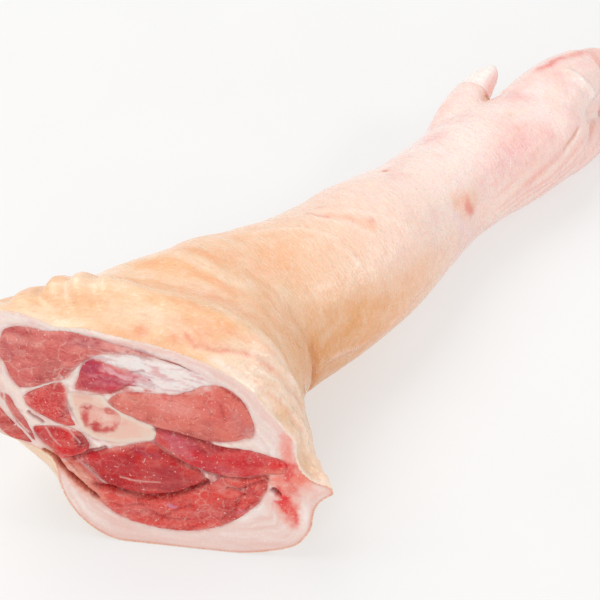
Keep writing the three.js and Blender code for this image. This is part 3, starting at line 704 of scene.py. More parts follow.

# Stains and patches, and a painted shade in a small hole: place, half length, half height, turn in degrees,
# colour and strength
STAINS = [
    (-96, 119.5, 9, 3.2, 4, (243, 226, 218), 0.85), (-84, 117.6, 6, 1.6, -14, (228, 190, 184), 0.7),
    (-88, 102, 12, 9, 0, (205, 104, 98), 0.55), (-60, 110, 14, 4, -8, (176, 96, 106), 0.6),
    (-40, 107.6, 10, 2.4, -14, (172, 104, 112), 0.6), (-78, 96, 6, 5, 0, (206, 124, 116), 0.4),
    (-99, 104, 3, 9, 10, (176, 88, 92), 0.5), (-94, 110, 5, 3, 0, (222, 156, 146), 0.5),
    (-62, 98, 5, 4, 20, (166, 44, 82), 0.75), (-57, 101.5, 5, 1.2, 20, (190, 40, 60), 0.6),
    (-52, 92, 9, 3, -8, (160, 76, 96), 0.5), (-60, 88, 7, 2, 0, (184, 92, 100), 0.5),
    (-34, 98, 16, 4.6, -14, (238, 222, 222), 0.95), (-20, 95, 9, 4, -14, (243, 231, 227), 0.95),
    (-48, 103, 9, 2.2, -4, (232, 208, 210), 0.9), (-49, 96, 9, 1.6, -14, (234, 190, 194), 0.75),
    (-44, 92, 8, 1.3, -8, (222, 150, 156), 0.65), (-57, 89.6, 8, 1.5, -4, (214, 116, 126), 0.6),
    (-59, 94, 7, 0.8, -10, (218, 130, 140), 0.6), (-32, 91, 8, 1.6, -3, (236, 216, 210), 0.8),
    (-14, 96.5, 6, 3, -40, (240, 224, 218), 0.8), (-47, 110, 8, 2.2, -10, (234, 184, 176), 0.85),
    (-66, 111, 8, 1.6, -6, (224, 160, 152), 0.5), (-86, 110, 7, 4, 0, (224, 140, 128), 0.5),
    (-70, 34, 7, 4, -58, (232, 150, 124), 0.8), (-58, 24, 4, 2.4, -46, (228, 140, 122), 0.5),
    (-77, 42, 4, 2.4, -50, (226, 104, 78), 0.7), (-76.6, 47.8, 7, 2.2, -6, (224, 20, 26), 0.95),
    (-24, 82, 11, 5, -6, (240, 158, 146), 0.6),
    (-36, 88, 3, 1.1, 10, (208, 44, 44), 0.8), (-28, 85.6, 1.6, 2.2, 0, (212, 44, 44), 0.75),
    (-46, 87.4, 4, 1.1, 10, (206, 60, 56), 0.55), (-75, 93.6, 0.9, 0.9, 0, (208, 30, 50), 0.8),
    (-44, 83.4, 6, 2.4, -4, (222, 160, 140), 0.6), (-38, 78, 12, 4, -8, (214, 116, 104), 0.5),
    (-6, 82, 8, 8, 0, (222, 92, 84), 0.6), (-14, 90.6, 7, 1.6, 20, (226, 150, 140), 0.55),
    (4, 76, 4, 8, 20, (188, 100, 100), 0.5), (8, 71, 3, 4, 0, (206, 150, 146), 0.45),
    (-24, 62, 9, 4, -20, (198, 96, 112), 0.7), (-22, 56, 8, 3, -25, (204, 104, 116), 0.55),
    (8, 54, 15, 3.2, -6, (206, 26, 36), 0.75), (-4, 49, 9, 3, -4, (190, 74, 88), 0.5),
    (20, 52.6, 5, 3, -10, (210, 72, 72), 0.6), (-10, 58.6, 8, 1.4, -14, (120, 24, 40), 0.45),
    (-52, 47, 14, 5, -14, (176, 40, 52), 0.6), (-30, 44, 9, 7, -10, (164, 62, 70), 0.5),
    (-60, 48.6, 6, 2.2, 10, (206, 36, 40), 0.75), (-38, 55, 9, 2, -8, (156, 52, 74), 0.55),
    (-30, 36, 16, 2.4, 4, (146, 46, 56), 0.5), (-20, 41, 8, 3, 20, (170, 82, 84), 0.4),
    (-40, 20, 20, 5, -4, (206, 100, 94), 0.5), (-10, 22, 12, 5, 16, (186, 66, 68), 0.5),
    (-4, 39, 6, 3.4, 0, (200, 110, 104), 0.45), (8, 38, 7, 3, -10, (170, 40, 50), 0.6),
    (-68, 38, 7, 2.6, -55, (226, 160, 140), 0.75), (-62, 30, 5, 2.4, -50, (220, 150, 134), 0.6),
    (-72, 43.4, 3.4, 1.6, -30, (214, 120, 92), 0.6),
    (-26, 25, 3, 1, 0, (196, 160, 196), 0.5), (5, 25, 3, 0.8, 10, (178, 130, 170), 0.45),
    (-67, 57, 4, 4.6, 30, (132, 14, 34), 0.75), (-74, 49, 9, 3.2, -20, (214, 22, 30), 0.95),
    (-84, 58, 5, 3.4, 0, (172, 66, 74), 0.4), (-80, 80, 6, 3, 20, (186, 60, 66), 0.4),
    (-74, 74, 2.4, 7, 0, (152, 60, 72), 0.5),
    (-64.8, 76.6, 3.2, 1.4, 10, (190, 26, 28), 0.9), (-65.2, 70.6, 1.9, 4.6, -10, (206, 44, 42), 0.9),
    (-61, 65.4, 5, 1.8, -34, (194, 30, 32), 0.95), (-55, 63.8, 3.8, 1.5, 6, (198, 38, 38), 0.85),
    (-51.6, 66.6, 1.4, 2.6, -20, (214, 84, 78), 0.7), (-54, 74.4, 3.4, 1.1, -26, (206, 66, 60), 0.75),
    (-56.4, 70.4, 3.6, 2.6, -50, (246, 210, 196), 0.65), (-47.6, 69, 2.4, 1.6, 0, (232, 132, 120), 0.5),
    (-45, 68, 6, 3.4, -20, (234, 186, 170), 0.6), (-38, 64.6, 4, 3, 0, (228, 208, 190), 0.6),
    (-65, 82.6, 6, 2.4, -4, (224, 152, 140), 0.5), (-58, 80.6, 5, 1.0, 0, (236, 214, 196), 0.4),
    (-50, 58.4, 9, 1.3, -4, (240, 208, 192), 0.6),
    (-68, 60.4, 3, 1.6, -30, (232, 150, 136), 0.55),
    (27, 46, 12, 10, -20, (240, 140, 120), 0.85), (27, 30, 6, 12, 14, (240, 150, 132), 0.8),
    (26, 61, 3.4, 12, 8, (240, 136, 120), 0.85), (22.5, 54.5, 5.4, 2.8, 8, (224, 22, 28), 1.0),
    (24.2, 35, 3.6, 8, 18, (226, 8, 10), 1.0), (28.6, 27, 3, 7.4, 14, (232, 54, 44), 0.9),
    (21.5, 46.4, 4, 2.6, 0, (236, 120, 104), 0.8), (29, 41, 3, 4, 20, (226, 84, 70), 0.75),
    (32, 48, 5, 3.4, 20, (238, 112, 92), 0.75), (27, 50, 2.8, 6, -10, (224, 42, 40), 0.85),
    (18, 33, 1.8, 5, 0, (240, 196, 184), 0.7), (36, 46, 3, 3, 0, (242, 172, 152), 0.6),
    # Painted shade: a near-black spot in the small hole of the fold above
    (21, 38.6, 1.5, 0.9, -35, (36, 12, 16), 1.0),
    (18.6, 40.4, 1.6, 1.0, -30, (150, 40, 90), 0.7), (33, 40, 5, 4, 0, (240, 204, 192), 0.5),
]


ORDER = list(REGIONS)
# A pocket's edge lies inside its piece's edge by this share, which hides the seam behind the piece
POCKET_SHARE = 0.92
POCKET_STEP = 1.6


def pocket_of(name):
    spec = REGIONS[name]
    anchor = np.array(spec["anchor"], float)
    return anchor + (smooth_line(spec["edge"], POCKET_STEP, True) - anchor) * POCKET_SHARE


def built_face(skin_points, loop):
    """The cut face: its triangles, sorted by piece, with their height out of the cut."""
    rim = on_cut(skin_points[loop])
    outlines = {}
    lines = [(rim, True)]
    for name, spec in REGIONS.items():
        outline = smooth_line(spec["edge"], 0.8, True)
        rough = 0.28 * np.stack([lattice_noise(outline, 2.2, 5), lattice_noise(outline, 2.2, 9)], -1)
        outlines[name] = outline + (0 if name in ("bone", "marrow") else rough)
        lines.append((outlines[name], True))
        if name != "marrow":
            lines.append((pocket_of(name), True))
    for line, *_ in FOLDS + PALE_LINES:
        lines.append((smooth_line(line, 0.8, False), False))
    points, edges = [], []
    for line, closed in lines:
        start = len(points)
        points += line.tolist()
        edges += [(start + i, start + i + 1) for i in range(len(line) - 1)]
        if closed:
            edges.append((len(points) - 1, start))
    fixed = np.array(points)
    low, high = fixed.min(0), fixed.max(0)
    xs = np.arange(low[0], high[0], FACE_STEP)
    ys = np.arange(low[1], high[1], FACE_STEP * 0.866)
    grid = np.stack(np.meshgrid(xs, ys), -1)
    grid[1::2, :, 0] += FACE_STEP / 2
    grid = grid.reshape(-1, 2)
    grid = grid + random.uniform(-0.14, 0.14, grid.shape)
    grid = grid[inside(grid, rim)]
    near = nearest_of(np.column_stack([fixed, np.zeros(len(fixed))]))
    grid = grid[np.array([near.find((*p, 0))[2] for p in grid]) > FACE_STEP * 0.55]
    every = [Vector(p) for p in points] + [Vector(p) for p in grid]
    verts, _, faces, sources, _, _ = delaunay_2d_cdt(every, edges, [], 0, 1e-5)
    uv = np.array([tuple(v) for v in verts])
    triangles = np.array([f for f in faces if len(f) == 3])
    centres = uv[triangles].mean(1)
    keep = inside(centres, rim)
    triangles, centres = triangles[keep], centres[keep]
    a, b, c = (uv[triangles[:, k]] for k in range(3))
    turned = (b[:, 0] - a[:, 0]) * (c[:, 1] - a[:, 1]) - (b[:, 1] - a[:, 1]) * (c[:, 0] - a[:, 0]) < 0
    triangles[turned] = triangles[turned][:, ::-1]
    label = np.full(len(triangles), -1)
    pocket = np.zeros(len(triangles), bool)
    for k, name in reversed(list(enumerate(ORDER))):
        label[inside(centres, outlines[name])] = k
        if name != "marrow":
            pocket |= inside(centres, pocket_of(name))
    label[inside(centres, outlines["marrow"])] = ORDER.index("marrow")
    rim_of = {}
    for i, source in enumerate(sources):
        for s in source:
            if s < len(loop):
                rim_of[i] = loop[s]
    return uv, triangles, label, pocket, rim, rim_of, outlines


def face_relief(uv, triangles, label, rim, outlines):
    """The height of the face over the cut's plane, and what the colours need."""
    owner = np.full(len(uv), -1)
    for k in range(3):
        owner[triangles[:, k]] = label
    from_rim = line_distance(uv, evenly(rim, 1.6, True), True)
    edge = np.full(len(uv), 50.0)
    own = np.full(len(uv), 50.0)
    height = np.zeros(len(uv))
    for k, (name, spec) in enumerate(REGIONS.items()):
        distance = line_distance(uv, evenly(outlines[name], 1.2, True), True)
        edge = np.minimum(edge, distance)
        here = owner == k
        own[here] = distance[here]
        height[here] = spec["swell"] * (1 - np.exp(-distance[here] / 3.2))
    fat = owner == -1
    own[fat] = np.minimum(edge, from_rim)[fat]
    height[fat] = 0.55 * (1 - np.exp(-own[fat] / 2.2))
    in_marrow, in_under = owner == ORDER.index("marrow"), owner == ORDER.index("muscle_under")
    meat = ~fat & ~in_marrow & (owner != ORDER.index("bone"))
    height += np.where(meat, 0.45, 0.22) * cloud(uv, 13, 41, 3) * smooth_step(own / 2)
    height += np.where(meat, 0.16, 0.05) * cloud(uv, 2.4, 47, 2)
    height[in_marrow] += 0.22 * cloud(uv, 1.9, 53, 2)[in_marrow]
    strands = np.stack([uv[:, 0] * 0.25 + uv[:, 1] * 0.05, uv[:, 1]], -1)
    height[in_under] += 0.35 * np.abs(lattice_noise(strands, 2.6, 57))[in_under]
    height[fat] += 0.22 * cloud(np.stack([from_rim, uv.sum(1) * 0.12], -1), 2.6, 61, 2)[fat]
    # How dark each fold is painted: partly the tissue's dark red, partly painted shade in the fold
    dark = np.zeros(len(uv))
    for line, depth, width, strength in FOLDS:
        distance = line_distance(uv, smooth_line(line, 1.5, False))
        width = width * (1 + 0.35 * lattice_noise(uv, 3, 67))
        height -= depth * bell(distance, width)
        dark = np.maximum(dark, strength * bell(distance, width * 0.95))
    height *= smooth_step(from_rim / 1.3)
    to_meats = np.sort([
        line_distance(uv, evenly(outlines[name], 1.2, True), True)
        for name in ("muscle_front", "muscle_front_band", "muscle_core", "muscle_under", "muscle_under_bone")
    ], axis=0)
    between_meats = smooth_step((3.4 - to_meats[0] - to_meats[1]) / 1.6)
    return height, own, from_rim, dark, between_meats


def face_colours(uv, name, own, from_rim, dark, sunk, between_meats):
    """Colours of one piece at the cut, or of the fat when the name is None."""
    wavy = from_rim + 2.2 * cloud(uv, 13, 69, 2)
    streaks = cloud(np.stack([wavy, uv.sum(1) * 0.1], -1), 2.0, 71, 3)
    meat = name is not None and name.startswith("muscle")
    if name is None:
        tone = np.tile(linear((238, 216, 208)), (len(uv), 1))
        tone = mixed(tone, (232, 180, 168), 0.5 * smooth_step(streaks * 1.1))
        tone = mixed(tone, (246, 234, 228), 0.7 * smooth_step(-streaks * 1.2))
        seam = bell(own, 0.9) * (0.65 + 0.6 * lattice_noise(uv, 3.4, 95)) * smooth_step((from_rim - 2) / 3)
        tone = mixed(tone, (214, 112, 104), 0.7 * seam)
        tone = mixed(tone, (168, 34, 42), 0.9 * between_meats)
        tone = mixed(tone, (230, 186, 176), 0.5 * smooth_step((20 - uv[:, 1]) / 14))
        tone = mixed(tone, (190, 74, 70), 0.7 * bell(np.linalg.norm(uv - (-9, 43), axis=1), 4))
    elif name == "bone":
        tone = np.tile(linear(REGIONS[name]["colour"]), (len(uv), 1))
        core = smooth_step((own - 1.4 + 0.5 * lattice_noise(uv, 3, 97)) / 1.4)
        tone = mixed(tone, (234, 186, 168), 0.85 * core)
    else:
        tone = np.tile(linear(REGIONS[name]["colour"]), (len(uv), 1))
    if meat:
        blotch = cloud(uv, 9, 73, 3)
        tone = mixed(tone, (146, 18, 30), 0.4 * smooth_step(blotch * 1.2))
        pale = 0.15 + 0.25 * REGIONS[name]["marbling"]
        tone = mixed(tone, (226, 118, 104), pale * smooth_step(-blotch * 1.1))
        grain = lattice_noise(np.stack([uv[:, 0] * 0.35, uv[:, 1]], -1) + 0.8 * blotch[:, None], 1.5, 77)
        tone = mixed(tone, (222, 106, 96), 0.25 * smooth_step(grain))
    wobble = uv + 1.5 * np.stack([cloud(uv, 3.2, 79, 4), cloud(uv, 3.2, 83, 4)], -1)
    for x, y, long, tall, turn, colour, strength in STAINS:
        c, s = math.cos(math.radians(turn)), math.sin(math.radians(turn))
        local = wobble - (x, y)
        across, up = local[:, 0] * c + local[:, 1] * s, local[:, 1] * c - local[:, 0] * s
        weight = smooth_step(1.35 - np.sqrt((across / long) ** 2 + (up / tall) ** 2))
        tone = mixed(tone, colour, strength * weight)
    for line, width, strength in PALE_LINES:
        distance = line_distance(uv, smooth_line(line, 1.5, False))
        width = width * (1 + 0.5 * lattice_noise(uv, 2.4, 89))
        tone = mixed(tone, (244, 222, 210), strength * bell(distance, width))
    if name in (None, "muscle_over_bone", "muscle_top_back"):
        tone = silvered(uv, tone)
    if meat:
        uneven = 0.5 + lattice_noise(uv, 6, 87)
        tone = mixed(tone, (158, 14, 26), 0.4 * bell(own, 0.6) * uneven * (name != "muscle_over_bone"))
        tone = mixed(tone, (236, 168, 156), 0.55 * bell(own, 1.3) * (0.35 - lattice_noise(uv, 7, 91)))
    slit = line_distance(uv, SLIT) + 0.7 * cloud(uv, 2.4, 93, 2)
    below = smooth_step((48 - uv[:, 1]) / 4)
    tone = mixed(tone, (230, 148, 122), 0.6 * smooth_step((4.6 - slit) / 3) * below)
    tone = mixed(tone, (196, 72, 44), 0.85 * smooth_step((2.1 - slit) / 1.2))
    # Dark red along the folds, partly the tissue's own colour and partly painted shade in them
    tone = mixed(tone, (158, 10, 18), dark)
    # Painted shade: the deeper the face sinks below the cut, the darker red-brown it is painted
    tone = mixed(tone, (126, 14, 12), 0.9 * smooth_step((sunk - 2.2) / 3))
    tone = mixed(tone, (176, 112, 62), 0.75 * bell(np.linalg.norm(uv - (-83.6, 48.6), axis=1), 2.6))
    if name is None:
        rind = bell(from_rim, 1.3) * smooth_step((66 - uv[:, 1]) / 20)
        tone = mixed(tone, (214, 128, 98), 0.9 * rind)
        tone = mixed(tone, (250, 232, 216), 0.6 * bell(from_rim, 1.2) * smooth_step((uv[:, 1] - 70) / 20))
    return tone


# The sheet of silver skin over the muscle above the bone
SILVER = [
    (-60, 103.6), (-56, 106), (-46, 106.4), (-36, 106.4), (-22, 105), (-14, 100.6), (-9, 96), (-13, 92),
    (-20, 89.6), (-27, 88.6), (-33, 89.6), (-40, 90), (-43, 92), (-36, 94.6), (-40, 96), (-45, 98.6),
    (-52, 99.6), (-57, 101),
]


def silvered(uv, tone):
    edge = line_distance(uv, SILVER, True) * np.where(inside(uv, SILVER), 1, -1)
    along = uv @ np.array([0.97, -0.24])
    across = uv @ np.array([0.24, 0.97])
    streak = cloud(np.stack([along / 9, across + 0.5 * np.sin(along / 5)], -1), 1.1, 141, 3)
    sheet = smooth_step((edge + 2.2 * streak + 0.9) / 2.4)
    tone = mixed(tone, (242, 230, 226), 0.95 * sheet)
    tone = mixed(tone, (208, 150, 158), 0.55 * sheet * smooth_step(streak * 1.6 - 0.1))
    red = cloud(uv * np.array([0.4, 1]), 2.6, 149, 2)
    return mixed(tone, (214, 120, 120), 0.55 * sheet * smooth_step(red * 2 - 0.7))


# How much of the leg's section the cut fills: its width and height, the height of its middle over the
# section's, the share by which pieces draw in under the hide, and the hide left outside them
CUT_WIDTH = 166
CUT_TALL = 124
CUT_RISE = 3
DRAWN_IN = 0.13
DRAWN_LENGTH = 32
HIDE_LEFT = 3.2


def carried(uv, depth):
    """Carries a point of the cut down the leg, as the section turns and narrows, inside the skin."""
    reached = np.concatenate([[0], np.cumsum(np.linalg.norm(np.diff(middles[5:], axis=0), axis=1))])
    t = np.array([np.interp(depth, reached, sample_t[5:])])
    cover = 1 - DRAWN_IN * np.minimum(depth / DRAWN_LENGTH, 1)
    near, far, up_reach, down = (between(keys[:, k], t)[0] for k in (5, 6, 7, 8))
    across = (uv[:, 0] - CUT_MIDDLE[0]) / CUT_WIDTH * (near + far) * cover + (near - far) / 2
    tall = (uv[:, 1] - CUT_MIDDLE[1] - CUT_RISE) / CUT_TALL * (up_reach + down) * cover
    tall = tall + (up_reach - down) / 2
    angle = np.arctan2(tall, across)
    spare = np.arange(0, 361, 5)
    limit = between(reach_table(np.radians(spare)), t)[0]
    longest = np.interp(np.degrees(angle) % 360, spare, limit) - HIDE_LEFT
    reach = np.minimum(np.hypot(across, tall), longest)
    side, up, _ = (axis[0] for axis in section_axes(between(keys[:, HEADING], t), between(keys[:, LEAN], t)))
    middle = between(keys[:, MIDDLE], t)[0]
    return middle + (np.cos(angle) * reach)[:, None] * side + (np.sin(angle) * reach)[:, None] * up


# How a piece narrows inside the leg: share of its depth and of its size
TAPER = [(0.12, 0.995), (0.3, 0.97), (0.5, 0.88), (0.7, 0.7), (0.88, 0.42), (1, 0.16)]


def walls(uv, boundary, anchor, depth, first, gain, tip):
    """Walls that run from a piece's edge into the leg and close on a point."""
    used = sorted({i for edge in boundary for i in edge})
    place = {i: k for k, i in enumerate(used)}
    flat = uv[used]
    anchor = np.array(anchor, float)
    rings = [cut_point(anchor + (flat - anchor) * first, np.full(len(flat), 2.6))]
    for share, size in TAPER:
        rings.append(carried(anchor + (flat - anchor) * first * size * gain, depth * share + tip))
    last = carried(anchor[None], depth + tip)
    return used, place, np.vstack(rings + [last]), len(rings)


def piece_mesh(uv, height, triangles, holes):
    """A closed piece: its front at the cut and walls into the leg from each kind of edge."""
    used = np.unique(triangles)
    index = np.full(len(uv), -1)
    index[used] = np.arange(len(used))
    points = [cut_point(uv[used], -height[used])]
    faces = [tuple(f) for f in index[triangles]]
    count = len(used)
    edges = {}
    for a, b, c in triangles:
        for p, q in ((a, b), (b, c), (c, a)):
            edges[(p, q)] = True
    boundary = [(p, q) for p, q in edges if (q, p) not in edges]
    for test, anchor, depth, first, gain, tip in holes:
        mine = [edge for edge in boundary if test(edge)]
        if not mine:
            continue
        ids, place, wall, rings = walls(uv, mine, anchor, depth, first, gain, tip)
        points.append(wall)
        size = len(ids)
        for p, q in mine:
            a, b = place[p], place[q]
            faces.append((index[q], index[p], count + a, count + b))
            for r in range(rings - 1):
                low, high = count + r * size, count + (r + 1) * size
                faces.append((low + b, low + a, high + a, high + b))
            low = count + (rings - 1) * size
            faces.append((low + b, low + a, count + rings * size))
        count += len(wall)
    return used, np.vstack(points), faces


def set_layer(mesh, name, kind, field, values, rest):
    """A value at each point of a mesh, where the points after the given ones get the rest."""
    layer = mesh.attributes.new(name, kind, "POINT")
    full = np.empty((len(mesh.vertices), values.shape[1]), np.float32)
    full[:] = rest
    full[: len(values)] = values
    layer.data.foreach_set(field, full.ravel())


def set_colours(mesh, tone):
    colours = np.column_stack([tone, np.ones(len(tone))])
    set_layer(mesh, "tone", "FLOAT_COLOR", "color", colours, colours.mean(0))


def set_vectors(mesh, values, name):
    set_layer(mesh, name, "FLOAT_VECTOR", "vector", values, 0)


def finish_piece(piece, node, material, kinds=None):
    """Turns the faces outward, keeps the edges between kinds of face crisp and fits the piece in."""
    mesh = piece.data
    tidy = bmesh.new()
    tidy.from_mesh(mesh)
    if kinds is not None:
        for edge in tidy.edges:
            edge.smooth = len({kinds[f.index] for f in edge.link_faces}) == 1
    bmesh.ops.delete(tidy, geom=[v for v in tidy.verts if not v.link_faces], context="VERTS")
    bmesh.ops.recalc_face_normals(tidy, faces=tidy.faces)
    tidy.to_mesh(mesh)
    tidy.free()
    mesh.polygons.foreach_set("use_smooth", np.ones(len(mesh.polygons), bool))
    if not mesh.materials:
        mesh.materials.append(material)
    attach(piece, "root")
    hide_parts(node)


# Shader trees
class Surface:
    """A material's node tree with short calls for the nodes that it needs."""

    def __init__(self, name):
        self.material = bpy.data.materials.new(name)
        self.material.use_nodes = True
        self.tree = self.material.node_tree
        self.shader = self.tree.nodes["Principled BSDF"]
        self.place = self.tree.nodes.new("ShaderNodeTexCoord").outputs["Object"]

    def link(self, value, socket):
        if isinstance(value, bpy.types.NodeSocket):
            self.tree.links.new(value, socket)
        else:
            socket.default_value = value

    def node(self, kind, output, settings=(), **inputs):
        """A new node with its settings and inputs, as the output that is asked for."""
        node = self.tree.nodes.new("ShaderNode" + kind)
        for name, value in settings:
            setattr(node, name, value)
        for name, value in inputs.items():
            self.link(value, node.inputs[name.replace("_", " ")])
        return node.outputs[output]

    def attribute(self, name, output):
        return self.node("Attribute", output, [("attribute_name", name)])

    def scaled(self, vector, scale):
        return self.node("Mapping", "Vector", Vector=vector, Scale=scale)

    def noise(self, vector, size, detail=3.0, roughness=0.55, output="Fac"):
        return self.node(
            "TexNoise", output, Vector=vector, Scale=1 / size, Detail=detail, Roughness=roughness
        )

    def seams(self, vector, size):
        """The distance to the edges between cells of the given size."""
        edges = [("feature", "DISTANCE_TO_EDGE")]
        return self.node("TexVoronoi", "Distance", edges, Vector=vector, Scale=1 / size)

    def ranged(self, value, low, high, start=0.0, end=1.0):
        soft = [("interpolation_type", "SMOOTHSTEP")]
        return self.node(
            "MapRange", "Result", soft, Value=value, From_Min=low, From_Max=high, To_Min=start, To_Max=end
        )

    def pair(self, kind, how, a, b):
        node = self.tree.nodes.new("ShaderNode" + kind)
        node.operation = how
        self.link(a, node.inputs[0])
        self.link(b, node.inputs[1])
        return node.outputs[0]

    def product(self, a, b):
        return self.pair("Math", "MULTIPLY", a, b)

    def mix(self, share, a, b):
        return self.node("Mix", "Result", [("data_type", "RGBA")], Factor=share, A=a, B=b)

    def moved(self, vector, size, amount):
        """A vector that wanders, for lines that aren't straight."""
        colour = self.noise(vector, size, 2.0, 0.5, "Color")
        centred = self.pair("VectorMath", "SUBTRACT", colour, (0.5, 0.5, 0.5))
        grown = self.node("VectorMath", 0, [("operation", "SCALE")], Vector=centred, Scale=amount)
        return self.pair("VectorMath", "ADD", vector, grown)

    def bump(self, height, distance, strength=1.0, before=None):
        under = {"Normal": before} if before else {}
        return self.node("Bump", "Normal", Height=height, Distance=distance, Strength=strength, **under)

    def tinted(self, base, value, low, high, strength, colour):
        return self.mix(self.ranged(value, low, high, 0.0, strength), base, colour4(colour))

    def finished(self, base, rough, normal, depth, radius, coat):
        """Wires the shader, with the weight and scale of light in the flesh and the coat of wetness."""
        self.wire(
            Base_Color=base, Roughness=rough, Normal=normal, Subsurface_Weight=depth[0],
            Subsurface_Scale=depth[1], Subsurface_Radius=radius, Coat_Weight=coat[0], Coat_Roughness=coat[1],
        )

    def wire(self, **sockets):
        for name, value in sockets.items():
            self.link(value, self.shader.inputs[name.replace("_", " ")])


def colour4(colour):
    return (*linear(colour).tolist(), 1.0)


def skin_material():
    s = Surface("skin")
    leg = s.attribute("leg", "Vector")
    tone = s.attribute("tone", "Color")
    rings = s.scaled(leg, (1.0, 0.28, 0.28))
    lengthwise = s.scaled(leg, (0.16, 1.0, 1.0))
    mottled = s.noise(s.place, 0.009, 4)
    base = s.tinted(tone, mottled, 0.35, 0.75, 0.3, (252, 224, 202))
    streaked = s.noise(lengthwise, 2.2, 4, 0.6)
    base = s.tinted(base, streaked, 0.55, 0.8, 0.16, (224, 146, 104))
    brushed = s.noise(s.scaled(leg, (1.0, 0.12, 0.12)), 1.7, 4, 0.65)
    base = s.tinted(base, brushed, 0.5, 0.78, 0.18, (234, 150, 104))
    base = s.tinted(base, brushed, 0.48, 0.25, 0.14, (255, 236, 218))
    wrinkles = s.noise(s.moved(rings, 3.0, 0.6), 1.25, 2, 0.5)
    pores = s.noise(s.moved(leg, 3.0, 1.0), 1.3, 2, 0.6)
    fine = s.pair("Math", "ADD", wrinkles, pores)
    # Painted shade in the grooves of the wrinkles and pores and a painted highlight on their crests,
    # following the same height as the bump
    base = s.tinted(base, fine, 0.96, 0.7, 0.15, (222, 146, 102))
    base = s.tinted(base, fine, 1.04, 1.3, 0.2, (255, 238, 222))
    normal = s.bump(fine, 0.0003, 1.0)
    swells = s.noise(leg, 7, 3)
    normal = s.bump(swells, 0.0014, 0.6, normal)
    rough = s.ranged(s.noise(leg, 4, 3), 0.3, 0.7, 0.26, 0.38)
    s.finished(base, rough, normal, (0.22, 0.004), (1.0, 0.42, 0.25), (0.35, 0.18))
    return s.material


def meat_material():
    s = Surface("raw_meat")
    tone = s.attribute("tone", "Color")
    marbling = s.attribute("marbling", "Fac")
    wandering = s.moved(s.place, 0.004, 0.0035)
    network = s.ranged(s.seams(wandering, 0.0068), 0.01, 0.075, 1.0, 0.0)
    broken = s.ranged(s.noise(s.place, 0.006, 3), 0.42, 0.62)
    veins = s.product(s.product(network, broken), marbling)
    base = s.mix(s.product(veins, 0.55), tone, colour4((232, 190, 176)))
    bundles = s.ranged(s.seams(wandering, 0.0021), 0.0, 0.16, 0.3, 0.0)
    bundles = s.product(bundles, s.ranged(marbling, 0.0, 1.0, 0.1, 1.0))
    base = s.mix(bundles, base, colour4((222, 140, 130)))
    fibres = s.noise(s.scaled(wandering, (0.3, 0.3, 1.0)), 0.0011, 4, 0.65)
    pale = s.ranged(marbling, 0.0, 1.0, 0.04, 1.0)
    light_fibres = s.product(s.ranged(fibres, 0.48, 0.72, 0.0, 0.34), pale)
    base = s.mix(light_fibres, base, colour4((232, 128, 118)))
    base = s.tinted(base, fibres, 0.48, 0.3, 0.36, (158, 18, 26))
    milky = s.noise(s.scaled(wandering, (0.5, 0.5, 1.0)), 0.005, 4, 0.6)
    milky = s.product(s.ranged(milky, 0.46, 0.68, 0.0, 0.5), pale)
    base = s.mix(milky, base, colour4((238, 152, 140)))
    # Painted glints: tiny near-white specks that stand in for the sparkle of wet highlights on the meat
    glint_specks = s.noise(s.place, 0.0014, 3, 0.7)
    base = s.tinted(base, glint_specks, 0.63, 0.71, 0.75, (253, 230, 222))
    normal = s.bump(s.noise(s.place, 0.0012, 3, 0.6), 0.0006, 0.9)
    normal = s.bump(s.noise(s.place, 0.005, 3), 0.0018, 0.5, normal)
    rough = s.ranged(s.noise(s.place, 0.003, 3), 0.35, 0.65, 0.24, 0.5)
    s.finished(base, rough, normal, (0.08, 0.003), (1.0, 0.3, 0.2), (0.17, 0.08))
    s.shader.inputs["Specular IOR Level"].default_value = 0.14
    return s.material


def fat_material():
    s = Surface("cut_fat")
    tone = s.attribute("tone", "Color")
    cloudy = s.noise(s.moved(s.place, 0.006, 0.004), 0.004, 4, 0.6)
    base = s.tinted(tone, cloudy, 0.5, 0.75, 0.25, (238, 198, 184))
    flecks = s.noise(s.place, 0.0012, 3, 0.7)
    base = s.tinted(base, flecks, 0.6, 0.7, 0.5, (255, 246, 240))
    lobes = s.seams(s.moved(s.place, 0.003, 0.004), 0.0036)
    lobes = s.ranged(lobes, 0.0, 0.12, 0.12, 0.0)
    base = s.mix(lobes, base, colour4((226, 176, 162)))
    normal = s.bump(s.noise(s.place, 0.0016, 4, 0.65), 0.0005, 0.7)
    normal = s.bump(s.noise(s.place, 0.006, 3), 0.0012, 0.4, normal)
    rough = s.ranged(s.noise(s.place, 0.004, 3), 0.35, 0.65, 0.28, 0.5)
    s.finished(base, rough, normal, (0.3, 0.004), (1.0, 0.5, 0.35), (0.4, 0.15))
    return s.material


def bone_material():
    s = Surface("sawn_bone")
    tone = s.attribute("tone", "Color")
    cloudy = s.noise(s.place, 0.003, 4, 0.6)
    base = s.tinted(tone, cloudy, 0.5, 0.72, 0.25, (226, 200, 178))
    saw = s.noise(s.scaled(s.place, (0.2, 0.2, 1.0)), 0.0007, 2)
    normal = s.bump(saw, 0.00018, 0.6)
    rough = s.ranged(cloudy, 0.35, 0.65, 0.35, 0.55)
    s.finished(base, rough, normal, (0.15, 0.003), (1.0, 0.7, 0.5), (0.3, 0.2))
    return s.material


def marrow_material():
    s = Surface("marrow")
    tone = s.attribute("tone", "Color")
    sponge = s.noise(s.moved(s.place, 0.0012, 0.0008), 0.0012, 3, 0.7)
    base = s.tinted(tone, sponge, 0.45, 0.3, 0.4, (206, 72, 64))
    pale = s.noise(s.place, 0.0016, 4, 0.7)
    base = s.tinted(base, pale, 0.55, 0.75, 0.6, (238, 204, 190))
    normal = s.bump(sponge, 0.0006, 0.8)
    rough = s.ranged(pale, 0.35, 0.65, 0.3, 0.55)
    s.finished(base, rough, normal, (0.2, 0.003), (1.0, 0.4, 0.3), (0.4, 0.2))
    return s.material


